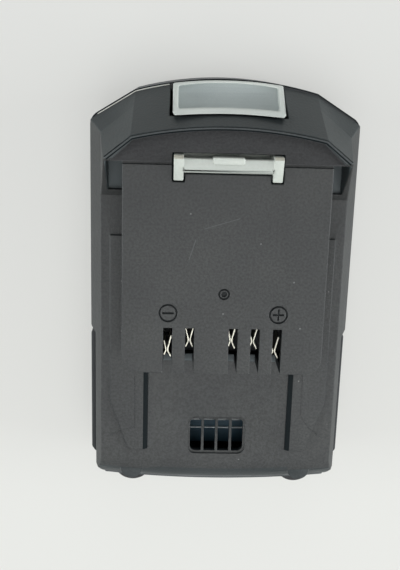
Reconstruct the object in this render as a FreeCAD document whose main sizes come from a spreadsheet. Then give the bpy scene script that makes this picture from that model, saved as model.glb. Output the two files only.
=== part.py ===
"""Sliding battery pack for cordless tools, as an assembly of its separate pieces.

Millimetres. +X is across the pack, +Y points to the end with the release button,
+Z is up. The origin is at the middle of the box around the pack, on its base.
Heights called drop are measured down from the top of the rail deck, and places
called back are measured from the front face towards the contacts.
"""
import FreeCAD, Part
import math
import os
import Sketcher

SIZES = {
    # Case, outside
    "body_width": 76.0,
    "case_length": 121.7,
    "boss_proud": 2.6,
    "deck_height": 46.0,
    "parting_drop": 18.2,
    "shoulder_drop": 12.4,
    "shoulder_inset": 3.4,
    "wall": 2.2,
    "floor": 2.2,
    # Front end, seen from above
    "front_flat": 51.0,
    "front_bow": 3.4,
    "chamfer_back": 11.1,
    "rim_ledge": 0.7,
    "corner_round": 4.0,
    # Rear end
    "rear_bow": 1.8,
    "rear_corner_in": 2.6,
    "rear_corner_back": 6.0,
    "rear_round": 9.0,
    "base_round": 3.0,
    # Side grips and the step in the case that holds them
    "grip_depth": 1.5,
    "grip_thick": 1.8,
    "grip_front_back": 72.1,
    "grip_rear_inset": 8.9,
    "grip_rear_lip": 0.72,
    "grip_front_lip": 1.08,
    "grip_low": 4.0,
    "grip_drop": 21.2,
    "grip_bevel": 1.6,
    # Hood at the front
    "ridge_rise": 0.9,
    "ridge_back": 11.6,
    "ridge_bow": 2.9,
    "ridge_flat": 51.4,
    "ridge_width": 1.1,
    "hood_lean": 1.7,
    "hood_corner_back": 20.6,
    "nose_inside_back": 2.72,
    "nose_inside_bow": 2.38,
    "hood_tail_back": 32.1,
    "pocket_back": 21.3,
    "pocket_length": 9.0,
    "pocket_drop": 12.4,
    "pocket_side_wall": 2.2,
    # Rail deck
    "deck_width": 55.8,
    "deck_rear_back": 79.95,
    "deck_corner": 4.5,
    "rail_lip": 3.2,
    "rail_reach": 3.5,
    "step_back": 21.6,
    "step_groove": 0.7,
    "step_depth": 0.9,
    "platform_rise": 1.0,
    "platform_shelf": 2.6,
    "platform_bevel": 0.9,
    "ear_inner": 21.1,
    "ear_tail_inset": 12.7,
    "ear_taper_length": 15.9,
    "ear_tail_half": 26.6,
    "ear_round": 2.2,
    # Vent
    "vent_width": 16.0,
    "vent_length": 10.4,
    "vent_inset": 11.95,
    "vent_bar": 0.75,
    "vent_sink": 0.7,
    "vent_border": 0.7,
    "vent_round": 2.3,
    # Contact slots and contacts
    "slot_pitch": 6.1,
    "slot_spread": 15.2,
    "slot_width": 2.5,
    "slot_length": 13.2,
    "slot_drop": 10.4,
    "leaf_thick": 0.45,
    "leaf_height": 7.0,
    "leaf_length": 6.2,
    "leaf_drop": 4.8,
    "leaf_mouth": 0.85,
    "leaf_pinch": 0.32,
    "outer_leaf_back": 70.6,
    "inner_leaf_back": 68.0,
    "contact_foot": 0.6,
    "leg_width": 1.0,
    "leg_length": 3.0,
    # Marks cut in the deck
    "mark_depth": 0.6,
    "mark_line": 0.5,
    "mark_ring": 5.2,
    "mark_back": 62.45,
    "gate_ring": 3.2,
    "gate_pin": 1.6,
    "gate_back": 56.85,
    # Latch and button
    "latch_width": 28.8,
    "arm_width": 2.6,
    "arm_rise": 2.4,
    "arm_foot_rise": 0.3,
    "arm_flat": 0.9,
    "arm_nose": 0.7,
    "latch_back": 19.1,
    "arm_length": 6.9,
    "bar_rise": 1.5,
    "bar_length": 3.8,
    "pad_width": 8.3,
    "pad_length": 1.9,
    "latch_gap": 0.35,
    "slider_drop": 10.0,
    "slider_thick": 2.5,
    "slider_rest": 0.3,
    "button_width": 29.9,
    "button_back": 9.5,
    "button_tip_back": 0.35,
    "button_tip_bow": 1.05,
    "button_rear_bow": 0.75,
    "button_corner": 1.2,
    "button_drop": 2.0,
    "button_tip_drop": 14.4,
    "button_gap": 0.3,
    "button_side_gap": 0.75,
    "button_rim": 1.4,
    "button_rear_rim": 1.7,
    "button_tip_rim": 0.6,
    "dish_bow": 0.5,
    "dish_depth": 2.4,
    "skirt_thick": 1.4,
    "skirt_back": 3.9,
    "skirt_drop": 3.8,
    "latch_travel": 3.0,
    # Latch springs
    "spring_radius": 3.0,
    "spring_wire": 0.7,
    "spring_spread": 9.0,
    "spring_back": 12.6,
    "spring_height": 9.5,
    "spring_pin": 1.6,
    "spring_pin_rise": 2.6,
    # Cells
    "cell_end_room": 5.4,
    "cell_spacing": 0.3,
    "pack_front_back": 15.95,
    "pack_rear_room": 9.85,
    "cell_gap": 0.15,
    "carrier_reach": 9.0,
    "carrier_skin": 0.6,
    "carrier_floor": 1.2,
    "carrier_inset": 0.2,
    "strip_thick": 0.2,
    "strip_width": 8.0,
    "tab_width": 4.0,
    "sheet_thick": 0.3,
    "sheet_gap": 0.4,
    # Circuit board and what it carries
    "board_inset": 3.1,
    "board_front_back": 31.0,
    "board_rear_room": 8.85,
    "board_thick": 1.6,
    "board_post": 1.5,
    "post_radius": 1.8,
    "post_inset": 4.1,
    "holder_half": 19.0,
    "holder_length": 12.0,
    "holder_drop": 6.85,
    "holder_wall": 0.9,
    "holder_gap": 0.3,
    "board_screw": 5.0,
    "board_screw_head": 1.2,
    "mosfet_width": 10.0,
    "mosfet_length": 9.0,
    "mosfet_high": 4.4,
    "chip_width": 8.0,
    "chip_high": 1.2,
    "chip_rear_room": 7.05,
    "can_radius": 3.0,
    "can_high": 4.4,
    "can_room": 1.35,
    "bead_high": 0.9,
    # Screws
    "screw_radius": 1.45,
    "screw_head": 2.6,
    "screw_head_high": 2.2,
    "screw_length": 17.6,
    "screw_gap": 0.15,
    "thread_gap": 0.45,
    "bore_gap": 0.2,
    "front_boss": 3.8,
    "front_boss_half": 19.2,
    "front_boss_back": 10.5,
    "rear_boss": 6.0,
    "rear_boss_drop": 3.8,
    "rear_boss_in": 10.9,
    "rear_boss_core": 3.3,
    "rear_screw_inset": 5.6,
    "pilot_rise": 2.6,
}

doc = FreeCAD.newDocument("BatteryPack")
sheet = doc.addObject("Spreadsheet::Sheet", "Sizes")
for row, (alias, value) in enumerate(SIZES.items(), start=1):
    sheet.set(f"A{row}", alias)
    sheet.set(f"B{row}", str(value))
    sheet.setAlias(f"B{row}", alias)
doc.recompute()


class Size:
    """A length that knows both its value and the formula the document keeps."""

    def __init__(self, value, formula):
        self.value = value
        self.formula = formula

    def join(self, other, sign, value):
        other = as_size(other)
        return Size(value(self.value, other.value), f"({self.formula} {sign} {other.formula})")

    def __add__(self, other):
        return self.join(other, "+", lambda a, b: a + b)

    def __sub__(self, other):
        return self.join(other, "-", lambda a, b: a - b)

    def __mul__(self, other):
        return self.join(other, "*", lambda a, b: a * b)

    def __truediv__(self, other):
        return self.join(other, "/", lambda a, b: a / b)

    def __radd__(self, other):
        return as_size(other) + self

    def __rsub__(self, other):
        return as_size(other) - self

    def __rmul__(self, other):
        return as_size(other) * self

    def __neg__(self):
        return Size(-self.value, f"(-1 * {self.formula})")


def as_size(number):
    return number if isinstance(number, Size) else Size(float(number), repr(float(number)))


def size(alias):
    return Size(float(sheet.get(alias)), f"Sizes.{alias}")


def smaller(a, b):
    """The lesser of two lengths, also after a change of size."""
    return Size(min(a.value, b.value), f"min({a.formula}; {b.formula})")


def bow_radius(chord, bow):
    """Radius of the arc that stands bow proud over a chord."""
    return (chord * chord / 4 + bow * bow) / (bow * 2)


def bind(item, name, value):
    item.setExpression(name, as_size(value).formula)


NODES = {}


def keep(label, item):
    """Name a finished sub-part; the name is also its file's name."""
    item.Label = label
    NODES[label] = item
    return item


# Plain solids

def place(item, x, y, z):
    for axis, value in zip("xyz", (x, y, z)):
        bind(item, f"Placement.Base.{axis}", value)


def block(x, y, z):
    """A box between pairs of limits."""
    item = doc.addObject("Part::Box", "Block")
    for name, (low, high) in zip(("Length", "Width", "Height"), (x, y, z)):
        bind(item, name, as_size(high) - low)
    place(item, x[0], y[0], z[0])
    return item


def rod(x, y, z, radius):
    """An upright cylinder between two heights."""
    item = doc.addObject("Part::Cylinder", "Rod")
    bind(item, "Radius", radius)
    bind(item, "Height", as_size(z[1]) - z[0])
    place(item, x, y, z[0])
    return item


def cross_rod(x, y, z, radius):
    """A cylinder that lies along X between two limits."""
    item = doc.addObject("Part::Cylinder", "CrossRod")
    bind(item, "Radius", radius)
    bind(item, "Height", as_size(x[1]) - x[0])
    item.Placement.Rotation = FreeCAD.Rotation(FreeCAD.Vector(0, 1, 0), 90)
    place(item, x[0], y, z)
    return item


def join(items):
    item = doc.addObject("Part::MultiFuse", "Join")
    item.Shapes = items
    return item


def group(items):
    item = doc.addObject("Part::Compound", "Group")
    item.Links = items
    return item


def shared(items):
    """What all the items have in common."""
    item = doc.addObject("Part::MultiCommon", "Shared")
    item.Shapes = items
    return item


def cut(base, tools):
    item = doc.addObject("Part::Cut", "Cut")
    item.Base = base
    item.Tool = tools[0] if len(tools) == 1 else join(tools)
    return item


# Bodies made from sketches

def origin_plane(body, role):
    return [o for o in body.Origin.OriginFeatures if o.Role == role][0]


def draw_loop(sketch, points, bows):
    """Close a loop through the points; bows gives the arcs, by the index of their start."""
    flat = [FreeCAD.Vector(as_size(x).value, as_size(y).value, 0) for x, y in points]
    first = sketch.GeometryCount
    count = len(flat)
    for i, start in enumerate(flat):
        end = flat[(i + 1) % count]
        if i not in bows:
            sketch.addGeometry(Part.LineSegment(start, end), False)
            continue
        bulge = as_size(bows[i]).value
        across = (end - start).normalize()
        outward = FreeCAD.Vector(across.y, -across.x, 0)
        middle = (start + end) * 0.5 + outward * bulge
        sketch.addGeometry(Part.Arc(start, middle, end), False)
    for i in range(count):
        here = first + i
        after = first + (i + 1) % count
        arc_here, arc_after = i in bows, (i + 1) % count in bows
        end_here, start_after = 2, 1
        if arc_here and turns_back(bows[i]):
            end_here = 1
        if arc_after and turns_back(bows[(i + 1) % count]):
            start_after = 2
        sketch.addConstraint(Sketcher.Constraint("Coincident", here, end_here, after, start_after))
    for i, (x, y) in enumerate(points):
        corner = 2 if i in bows and turns_back(bows[i]) else 1
        for kind, value in (("DistanceX", x), ("DistanceY", y)):
            value = as_size(value)
            index = sketch.addConstraint(
                Sketcher.Constraint(kind, -1, 1, first + i, corner, value.value))
            bind(sketch, f"Constraints[{index}]", value)
    for i, bulge in bows.items():
        (x0, y0), (x1, y1) = points[i], points[(i + 1) % count]
        chord = Size(math.dist((as_size(x0).value, as_size(y0).value),
                               (as_size(x1).value, as_size(y1).value)),
                     f"sqrt(({as_size(x1).formula} - {as_size(x0).formula}) ^ 2"
                     f" + ({as_size(y1).formula} - {as_size(y0).formula}) ^ 2)")
        bulge = as_size(bulge)
        bulge = bulge if bulge.value > 0 else -bulge
        radius = bow_radius(chord, bulge)
        index = sketch.addConstraint(Sketcher.Constraint("Radius", first + i, radius.value))
        bind(sketch, f"Constraints[{index}]", radius)


def turns_back(bulge):
    """An arc runs anticlockwise, so one that bulges inward starts at its far end."""
    return as_size(bulge).value < 0


def draw_circle(sketch, x, y, radius):
    x, y, radius = as_size(x), as_size(y), as_size(radius)
    centre = FreeCAD.Vector(x.value, y.value, 0)
    index = sketch.addGeometry(Part.Circle(centre, FreeCAD.Vector(0, 0, 1), radius.value), False)
    for kind, value in (("DistanceX", x), ("DistanceY", y)):
        mark = sketch.addConstraint(Sketcher.Constraint(kind, -1, 1, index, 3, value.value))
        bind(sketch, f"Constraints[{mark}]", value)
    mark = sketch.addConstraint(Sketcher.Constraint("Radius", index, radius.value))
    bind(sketch, f"Constraints[{mark}]", radius)


def sketch_on(body, role, level, loops=(), circles=(), shift=None):
    """A sketch on one of the body's origin planes, lifted to a level."""
    sketch = body.newObject("Sketcher::SketchObject", "Sketch")
    sketch.AttachmentSupport = [(origin_plane(body, role), "")]
    sketch.MapMode = "FlatFace"
    bind(sketch, "AttachmentOffset.Base.z", level)
    if shift is not None:
        bind(sketch, "AttachmentOffset.Base.x", shift)
    for loop in loops:
        points, bows = loop if isinstance(loop, tuple) else (loop, {})
        draw_loop(sketch, points, bows)
    for x, y, radius in circles:
        draw_circle(sketch, x, y, radius)
    return sketch


def new_body(name):
    return doc.addObject("PartDesign::Body", name)


def raise_pad(body, sketch, length):
    pad = body.newObject("PartDesign::Pad", "Pad")
    pad.Profile = sketch
    bind(pad, "Length", length)
    return pad


def sink_pocket(body, sketch, length, what):
    """Cut away from the sketch along its normal, and make sure something was cut."""
    doc.recompute()
    before = body.Shape.Volume
    pocket = body.newObject("PartDesign::Pocket", "Pocket")
    pocket.Profile = sketch
    bind(pocket, "Length", length)
    pocket.Reversed = True
    doc.recompute()
    if body.Shape.Volume >= before:
        raise RuntimeError(f"{what} cuts nothing")
    return pocket


def round_edges(body, choose, radius):
    """Fillet the edges of the body that the test chooses."""
    doc.recompute()
    base = body.Tip
    names = [f"Edge{i}" for i, e in enumerate(base.Shape.Edges, start=1) if choose(e)]
    if not names:
        raise RuntimeError(f"no edge to round on {body.Label}")
    fillet = body.newObject("PartDesign::Fillet", "Fillet")
    fillet.Base = (base, names)
    bind(fillet, "Radius", radius)
    doc.recompute()
    return fillet


def bevel_edges(body, choose, depth):
    doc.recompute()
    base = body.Tip
    names = [f"Edge{i}" for i, e in enumerate(base.Shape.Edges, start=1) if choose(e)]
    if not names:
        raise RuntimeError(f"no edge to bevel on {body.Label}")
    bevel = body.newObject("PartDesign::Chamfer", "Chamfer")
    bevel.Base = (base, names)
    bind(bevel, "Size", depth)
    doc.recompute()
    return bevel


def ends(edge):
    return [v.Point for v in edge.Vertexes]


def near(a, b, tolerance=0.02):
    return abs(a - b) < tolerance


def upright(edge, x, y):
    """Is this a vertical edge at |x| and y?"""
    points = ends(edge)
    if len(points) < 2 or near(points[0].z, points[1].z):
        return False
    return all(near(abs(p.x), x.value) and near(p.y, y.value) for p in points)


def mirrored(points):
    """A right-hand loop, and the same loop on the left, run the same way round."""
    return [(-as_size(x), y) for x, y in reversed(points)]


# Places worked out from the driving sizes

CELL_COUNT = 5
REAR_SWEEP = 30
half = size("body_width") / 2
front = (size("case_length") + size("boss_proud")) / 2
rear = front - size("case_length")
deck_top = size("deck_height")
parting = deck_top - size("parting_drop")
shoulder = deck_top - size("shoulder_drop")
shoulder_half = half - size("shoulder_inset")
platform = shoulder + size("platform_rise")
ridge_top = deck_top + size("ridge_rise")
wall = size("wall")
floor = size("floor")
waist = half - size("grip_depth")
cavity_half = waist - wall
rear_half = waist - size("rear_corner_in")
hood_half = shoulder_half - size("hood_lean")
platform_half = shoulder_half - size("platform_shelf")
flat_half = size("front_flat") / 2
deck_half = size("deck_width") / 2
root_half = deck_half - size("rail_reach")
grip_front = front - size("grip_front_back")
grip_rear = rear + size("grip_rear_inset")
deck_rear = front - size("deck_rear_back")
ceiling = deck_top - wall
ear_tail = rear + size("ear_tail_inset")
slack = size("cell_gap") + size("carrier_skin")
pack_front = front - size("pack_front_back")
pack_rear = rear + size("pack_rear_room")
pack_middle = (pack_front + pack_rear) / 2
cell_pitch = (pack_front - pack_rear - (slack - size("cell_spacing")) * 2) / CELL_COUNT
stack = (floor + size("carrier_floor") + slack + size("board_post") + size("board_thick")
         + size("can_high") + size("can_room") + wall)
cell_radius = smaller(cell_pitch / 2 - size("cell_spacing"), (shoulder - stack) / 2)
cell_height = floor + size("carrier_floor") + cell_radius
bore_radius = cell_radius + size("cell_gap")
carrier_top = cell_height + bore_radius + size("carrier_skin")
cell_half = half - size("cell_end_room")
carrier_out = cell_half - size("carrier_inset")
carrier_in = carrier_out - size("carrier_reach")
carrier_end = cell_pitch * 2 + bore_radius + size("carrier_skin")
board_low = carrier_top + size("board_post")
board_high = board_low + size("board_thick")
board_front = front - size("board_front_back")
board_rear = pack_rear + size("board_rear_room")
board_half = cell_half - size("board_inset")
post_half = board_half - size("post_inset")
slider_top = deck_top - (size("slider_drop") - size("slider_thick"))
slider_low = deck_top - size("slider_drop")
latch_face = front - size("latch_back")
button_rear = front - size("button_back")
front_screw = (size("front_boss_half"), front - size("front_boss_back"))
tower_y = rear - size("boss_proud") + size("rear_boss")
tower_top = parting - size("rear_boss_drop")
rear_screw = (waist - size("rear_boss_in"), rear + size("rear_screw_inset"))
head_seat = parting + size("pilot_rise") - size("screw_length")
screw_bores = [(sign * x, y) for x, y in (front_screw, rear_screw) for sign in (1, -1)]
slot_inner = size("slot_spread") - size("slot_pitch")
spring_seat = slider_low - size("spring_height")
skirt_low = parting - size("skirt_drop")
SLOT_PLACES = {
    "negative_contact": (-1 * size("slot_spread"), "outer"),
    "signal_contact_1": (-1 * slot_inner, "inner"),
    "signal_contact_2": (slot_inner - size("slot_pitch"), "inner"),
    "signal_contact_3": (slot_inner, "inner"),
    "positive_contact": (size("slot_spread"), "outer"),
}
OUT_OF_CASE = deck_top
HAIR = 0.01


def case_outline(inset_front):
    """Plan outline of the case, anticlockwise from the rear right corner."""
    nose = front - size("front_bow") - inset_front
    right = [
        (rear_half, rear + size("rear_bow")),
        (waist, rear + size("rear_corner_back")),
        (waist, grip_front - size("grip_depth")),
        (half, grip_front),
        (half, front - size("chamfer_back") - inset_front),
        (flat_half, nose),
    ]
    points = right + [(-x, y) for x, y in reversed(right)]
    return points, {5: size("front_bow"), 11: size("rear_bow")}


def cavity_outline():
    """Plan outline of the hollow inside the lower shell."""
    right = [
        (rear_half - wall, rear + wall + size("rear_bow")),
        (cavity_half, rear + wall + size("rear_corner_back")),
        (cavity_half, front - size("chamfer_back") - wall / 4),
        (flat_half - wall / 3, front - size("front_bow") - wall),
    ]
    points = right + [(-x, y) for x, y in reversed(right)]
    return points, {3: size("front_bow"), 7: size("rear_bow")}


def lower_housing():
    """The tray that holds the cells, with screw towers and the two spring posts."""
    body = new_body("LowerHousing")
    raise_pad(body, sketch_on(body, "XY_Plane", 0, [case_outline(as_size(0))]), parting)
    corner_back = front - size("chamfer_back")
    round_edges(body, lambda e: upright(e, half, corner_back), size("corner_round"))
    round_edges(body, lambda e: all(near(p.z, 0) for p in ends(e)), size("base_round"))
    towers = [(sign * rear_screw[0], tower_y, size("rear_boss")) for sign in (1, -1)]
    raise_pad(body, sketch_on(body, "XY_Plane", 0, circles=towers), tower_top)
    hollow = sketch_on(body, "XY_Plane", floor, [cavity_outline()])
    sink_pocket(body, hollow, parting, "the cell bay")
    posts = []
    for sign in (1, -1):
        posts.append((sign * front_screw[0], front_screw[1], size("front_boss")))
        posts.append((sign * rear_screw[0], rear_screw[1], size("rear_boss_core")))
    raise_pad(body, sketch_on(body, "XY_Plane", floor, circles=posts), parting - floor)
    raise_pad(body, sketch_on(body, "XY_Plane", floor, circles=towers),
              tower_top - floor)
    seats = [(sign * size("spring_spread"), front - size("spring_back"), size("spring_radius"))
             for sign in (1, -1)]
    raise_pad(body, sketch_on(body, "XY_Plane", floor, circles=seats),
              spring_seat - floor)
    pins = [(x, y, size("spring_pin")) for x, y, radius in seats]
    raise_pad(body, sketch_on(body, "XY_Plane", spring_seat, circles=pins),
              size("spring_pin_rise"))
    shafts = [(x, y, size("screw_radius") + size("screw_gap")) for x, y in screw_bores]
    sink_pocket(body, sketch_on(body, "XY_Plane", 0, circles=shafts), parting, "screw holes")
    heads = [(x, y, size("screw_head") + size("bore_gap")) for x, y in screw_bores]
    sink_pocket(body, sketch_on(body, "XY_Plane", 0, circles=heads), head_seat, "screw wells")
    keep("lower_housing", body)


def hood_level(body, level, side, corner_back, bow, flat, nose_back):
    """One section of the hood block, from the middle of the case to its nose."""
    tail = front - size("hood_tail_back") - size("pocket_length")
    right = [
        (side, tail),
        (side, front - corner_back),
        (flat, front - nose_back - bow),
    ]
    points = right + [(-x, y) for x, y in reversed(right)]
    return sketch_on(body, "XY_Plane", level, [(points, {2: bow})])


def loft_sections(body, kind, sections):
    doc.recompute()
    loft = body.newObject(kind, "Loft")
    loft.Profile = sections[0]
    loft.Sections = sections[1:]
    loft.Ruled = True
    doc.recompute()
    return loft


def slope_back(drop_from_ridge):
    """How far behind its foot the hood's front slope has come, per height."""
    run = size("ridge_back") - size("rim_ledge")
    rise = ridge_top - parting
    return size("ridge_back") - run * drop_from_ridge / rise


def upper_housing():
    """The cover with the hood, the rail deck, the contact slots and the vent."""
    body = new_body("UpperHousing")
    ledge = size("rim_ledge")
    middle = (size("chamfer_back") * 2 + size("hood_corner_back")) / 3 + ledge
    foot = hood_level(body, parting, half, size("chamfer_back") + ledge,
                      size("front_bow"), flat_half, ledge)
    knee = hood_level(body, shoulder, shoulder_half, middle, size("front_bow"),
                      flat_half, slope_back(ridge_top - shoulder))
    crest = hood_level(body, ridge_top, hood_half, size("hood_corner_back"),
                       size("ridge_bow"), size("ridge_flat") / 2, size("ridge_back"))
    loft_sections(body, "PartDesign::AdditiveLoft", [foot, knee, crest])
    # The skirt behind the hood is one trapezium drawn across the case
    skirt = [(-half, parting), (half, parting), (shoulder_half, shoulder),
             (-shoulder_half, shoulder)]
    tail = front - size("hood_tail_back")
    raise_pad(body, sketch_on(body, "XZ_Plane", -tail, [skirt]), tail - rear)
    # The waist: above the side grips the skirt is narrower
    notch = [(waist, rear - wall), (half + wall, rear - wall), (half + wall, grip_front),
             (half, grip_front), (waist, grip_front - size("grip_depth"))]
    loops = [notch, mirrored(notch)]
    sink_pocket(body, sketch_on(body, "XY_Plane", parting - wall, loops), OUT_OF_CASE, "waist")
    corner = [(rear_half, rear + size("rear_bow")),
              (rear_half, rear - wall), (waist + wall, rear - wall),
              (waist + wall, rear + size("rear_corner_back")),
              (waist, rear + size("rear_corner_back"))]
    loops = [corner, mirrored(corner)]
    sink_pocket(body, sketch_on(body, "XY_Plane", parting - wall, loops), OUT_OF_CASE, "corner")
    round_rear(body)
    # Deck block and the platforms beside it
    deck = [(-deck_half, deck_rear), (deck_half, deck_rear), (deck_half, latch_face),
            (-deck_half, latch_face)]
    raise_pad(body, sketch_on(body, "XY_Plane", parting, [deck]), size("parting_drop"))
    round_edges(body, lambda e: upright(e, deck_half, deck_rear), size("deck_corner"))
    ear = [(root_half, deck_rear), (size("ear_inner"), deck_rear),
           (size("ear_inner"), ear_tail),
           (size("ear_tail_half"), ear_tail),
           (platform_half, ear_tail + size("ear_taper_length")),
           (platform_half, front - size("hood_tail_back")),
           (root_half, front - size("hood_tail_back"))]
    raise_pad(body, sketch_on(body, "XY_Plane", shoulder, [ear, mirrored(ear)]),
              size("platform_rise"))
    round_edges(body, lambda e: upright(e, size("ear_tail_half"), ear_tail), size("ear_round"))
    bevel_edges(body, lambda e: is_bevel(e, ear_tail), size("platform_bevel"))
    cut_hood(body)
    hollow_out(body)
    cut_deck(body)
    keep("upper_housing", body)


def is_bevel(edge, tail):
    """The inner top edge of an ear."""
    inner = size("ear_inner").value
    points = ends(edge)
    return (len(points) == 2 and all(near(abs(p.x), inner) for p in points)
            and all(near(p.z, platform.value) for p in points)
            and min(p.y for p in points) < tail.value + 1)


def round_rear(body):
    """Turn the rounded rear edge about the far centre of the rear bow."""
    radius = bow_radius(rear_half * 2, size("rear_bow"))
    centre = rear + radius
    start = rear - centre + size("rear_round")
    drop = shoulder - parting
    reach = size("rear_round")
    run = Size(math.sqrt(reach.value ** 2 - (reach.value - drop.value) ** 2),
               f"sqrt({reach.formula} ^ 2 - ({reach.formula} - {drop.formula}) ^ 2)")
    low = start - run
    outside = start - reach - size("boss_proud")
    chord = Size(math.hypot(run.value, drop.value),
                 f"sqrt({run.formula} ^ 2 + {drop.formula} ^ 2)")
    half_chord = chord / 2
    sag = Size(reach.value - math.sqrt(reach.value ** 2 - half_chord.value ** 2),
               f"({reach.formula} - sqrt({reach.formula} ^ 2 - {half_chord.formula} ^ 2))")
    top = shoulder + wall
    loop = [(low, parting), (start, shoulder), (start, top), (outside, top),
            (outside, parting - wall), (low, parting - wall)]
    sketch = sketch_on(body, "YZ_Plane", 0, [(loop, {0: -sag})], shift=centre)
    doc.recompute()
    before = body.Shape.Volume
    groove = body.newObject("PartDesign::Groove", "RearRound")
    groove.Profile = sketch
    groove.ReferenceAxis = (sketch, ["V_Axis"])
    groove.Midplane = True
    groove.Angle = REAR_SWEEP
    doc.recompute()
    if body.Shape.Volume >= before:
        raise RuntimeError("the rear round cuts nothing")


def cut_hood(body):
    """Shelf behind the ridge, sloped tails at the sides, side pockets, button gate."""
    width = size("ridge_width")
    inner = [
        (hood_half - width, front - size("hood_corner_back") - width),
        (size("ridge_flat") / 2 - width / 2,
         front - size("ridge_back") - size("ridge_bow") - width),
    ]
    far = front - size("hood_tail_back") - size("pocket_length") - wall
    right = [(hood_half - width, far)] + inner
    points = right + [(-x, y) for x, y in reversed(right)]
    shelf = sketch_on(body, "XY_Plane", deck_top, [(points, {2: size("ridge_bow")})])
    sink_pocket(body, shelf, OUT_OF_CASE, "shelf")
    crest_y = front - size("hood_corner_back")
    tail_y = front - size("hood_tail_back")
    wedge = [(crest_y, ridge_top + wall), (far, ridge_top + wall), (far, shoulder),
             (tail_y, shoulder), (crest_y, ridge_top)]
    for start in (deck_half, -half - wall):
        sketch = sketch_on(body, "YZ_Plane", start, [wedge])
        sink_pocket(body, sketch, half + wall - deck_half, "hood tail")
    pocket_y = front - size("pocket_back")
    inner_x, outer_x = deck_half, shoulder_half - size("pocket_side_wall")
    pocket_end = pocket_y - size("pocket_length")
    pocket = [(inner_x, pocket_end), (outer_x, pocket_end), (outer_x, pocket_y), (inner_x, pocket_y)]
    level = deck_top - size("pocket_drop")
    sink_pocket(body, sketch_on(body, "XY_Plane", level, [pocket, mirrored(pocket)]),
                OUT_OF_CASE, "side pocket")
    gate = size("button_width") / 2 + size("button_side_gap")
    back = button_rear - size("button_gap")
    loop = [(-gate, back), (gate, back), (gate, front + wall), (-gate, front + wall)]
    bowed = (loop, {0: -size("button_rear_bow")})
    sink_pocket(body, sketch_on(body, "XY_Plane", ceiling - wall * 2, [bowed]), OUT_OF_CASE,
                "button gate")
    sink_pocket(body, sketch_on(body, "XY_Plane", parting - wall, [loop]),
                ceiling - parting - wall, "foot of the button gate")


def hollow_out(body):
    """The space under the skirt, inside the deck block and inside the hood."""
    low = parting - wall
    bay_front = front - size("hood_tail_back")
    bay_half = cavity_half - wall / 2
    bay_rear = rear + size("rear_round") - wall
    bay = [(-bay_half, bay_rear), (bay_half, bay_rear), (bay_half, bay_front),
           (-bay_half, bay_front)]
    sink_pocket(body, sketch_on(body, "XY_Plane", low, [bay]), shoulder - low - wall, "skirt bay")
    inside = root_half - wall
    hood_back = front - size("pocket_back") + wall
    deck_bay = [(-inside, deck_rear + wall), (inside, deck_rear + wall),
                (inside, hood_back), (-inside, hood_back)]
    sink_pocket(body, sketch_on(body, "XY_Plane", low, [deck_bay]), ceiling - low, "deck bay")
    hood_bosses = [(sign * front_screw[0], front_screw[1], size("front_boss"))
                   for sign in (1, -1)]
    rear_bosses = [(sign * rear_screw[0], rear_screw[1], size("rear_boss_core"))
                   for sign in (1, -1)]
    aisle = size("latch_width") / 2 + size("latch_gap")
    aisle_low = slider_low - size("latch_travel") - size("latch_gap")
    loop = [(-aisle, hood_back - HAIR), (aisle, hood_back - HAIR),
            (aisle, button_rear - size("button_gap") + HAIR),
            (-aisle, button_rear - size("button_gap") + HAIR)]
    sink_pocket(body, sketch_on(body, "XY_Plane", aisle_low, [loop]),
                slider_top + size("latch_gap") - aisle_low, "slider aisle")
    lower = hood_hollow(body, low, slope_back(ridge_top - low) + wall)
    upper = hood_hollow(body, ceiling, slope_back(ridge_top - ceiling) + wall)
    doc.recompute()
    before = body.Shape.Volume
    loft_sections(body, "PartDesign::SubtractiveLoft", [lower, upper])
    if body.Shape.Volume >= before:
        raise RuntimeError("the hood hollow cuts nothing")
    tall = shoulder - wall / 2 - parting
    raise_pad(body, sketch_on(body, "XY_Plane", parting, circles=hood_bosses + rear_bosses), tall)


def hood_hollow(body, level, nose_back):
    inside = root_half - wall
    back = front - size("pocket_back") + wall - HAIR
    right = [(inside, back), (inside, front - nose_back - size("nose_inside_back"))]
    points = right + [(-x, y) for x, y in reversed(right)]
    return sketch_on(body, "XY_Plane", level, [(points, {1: size("nose_inside_bow")})])


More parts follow.
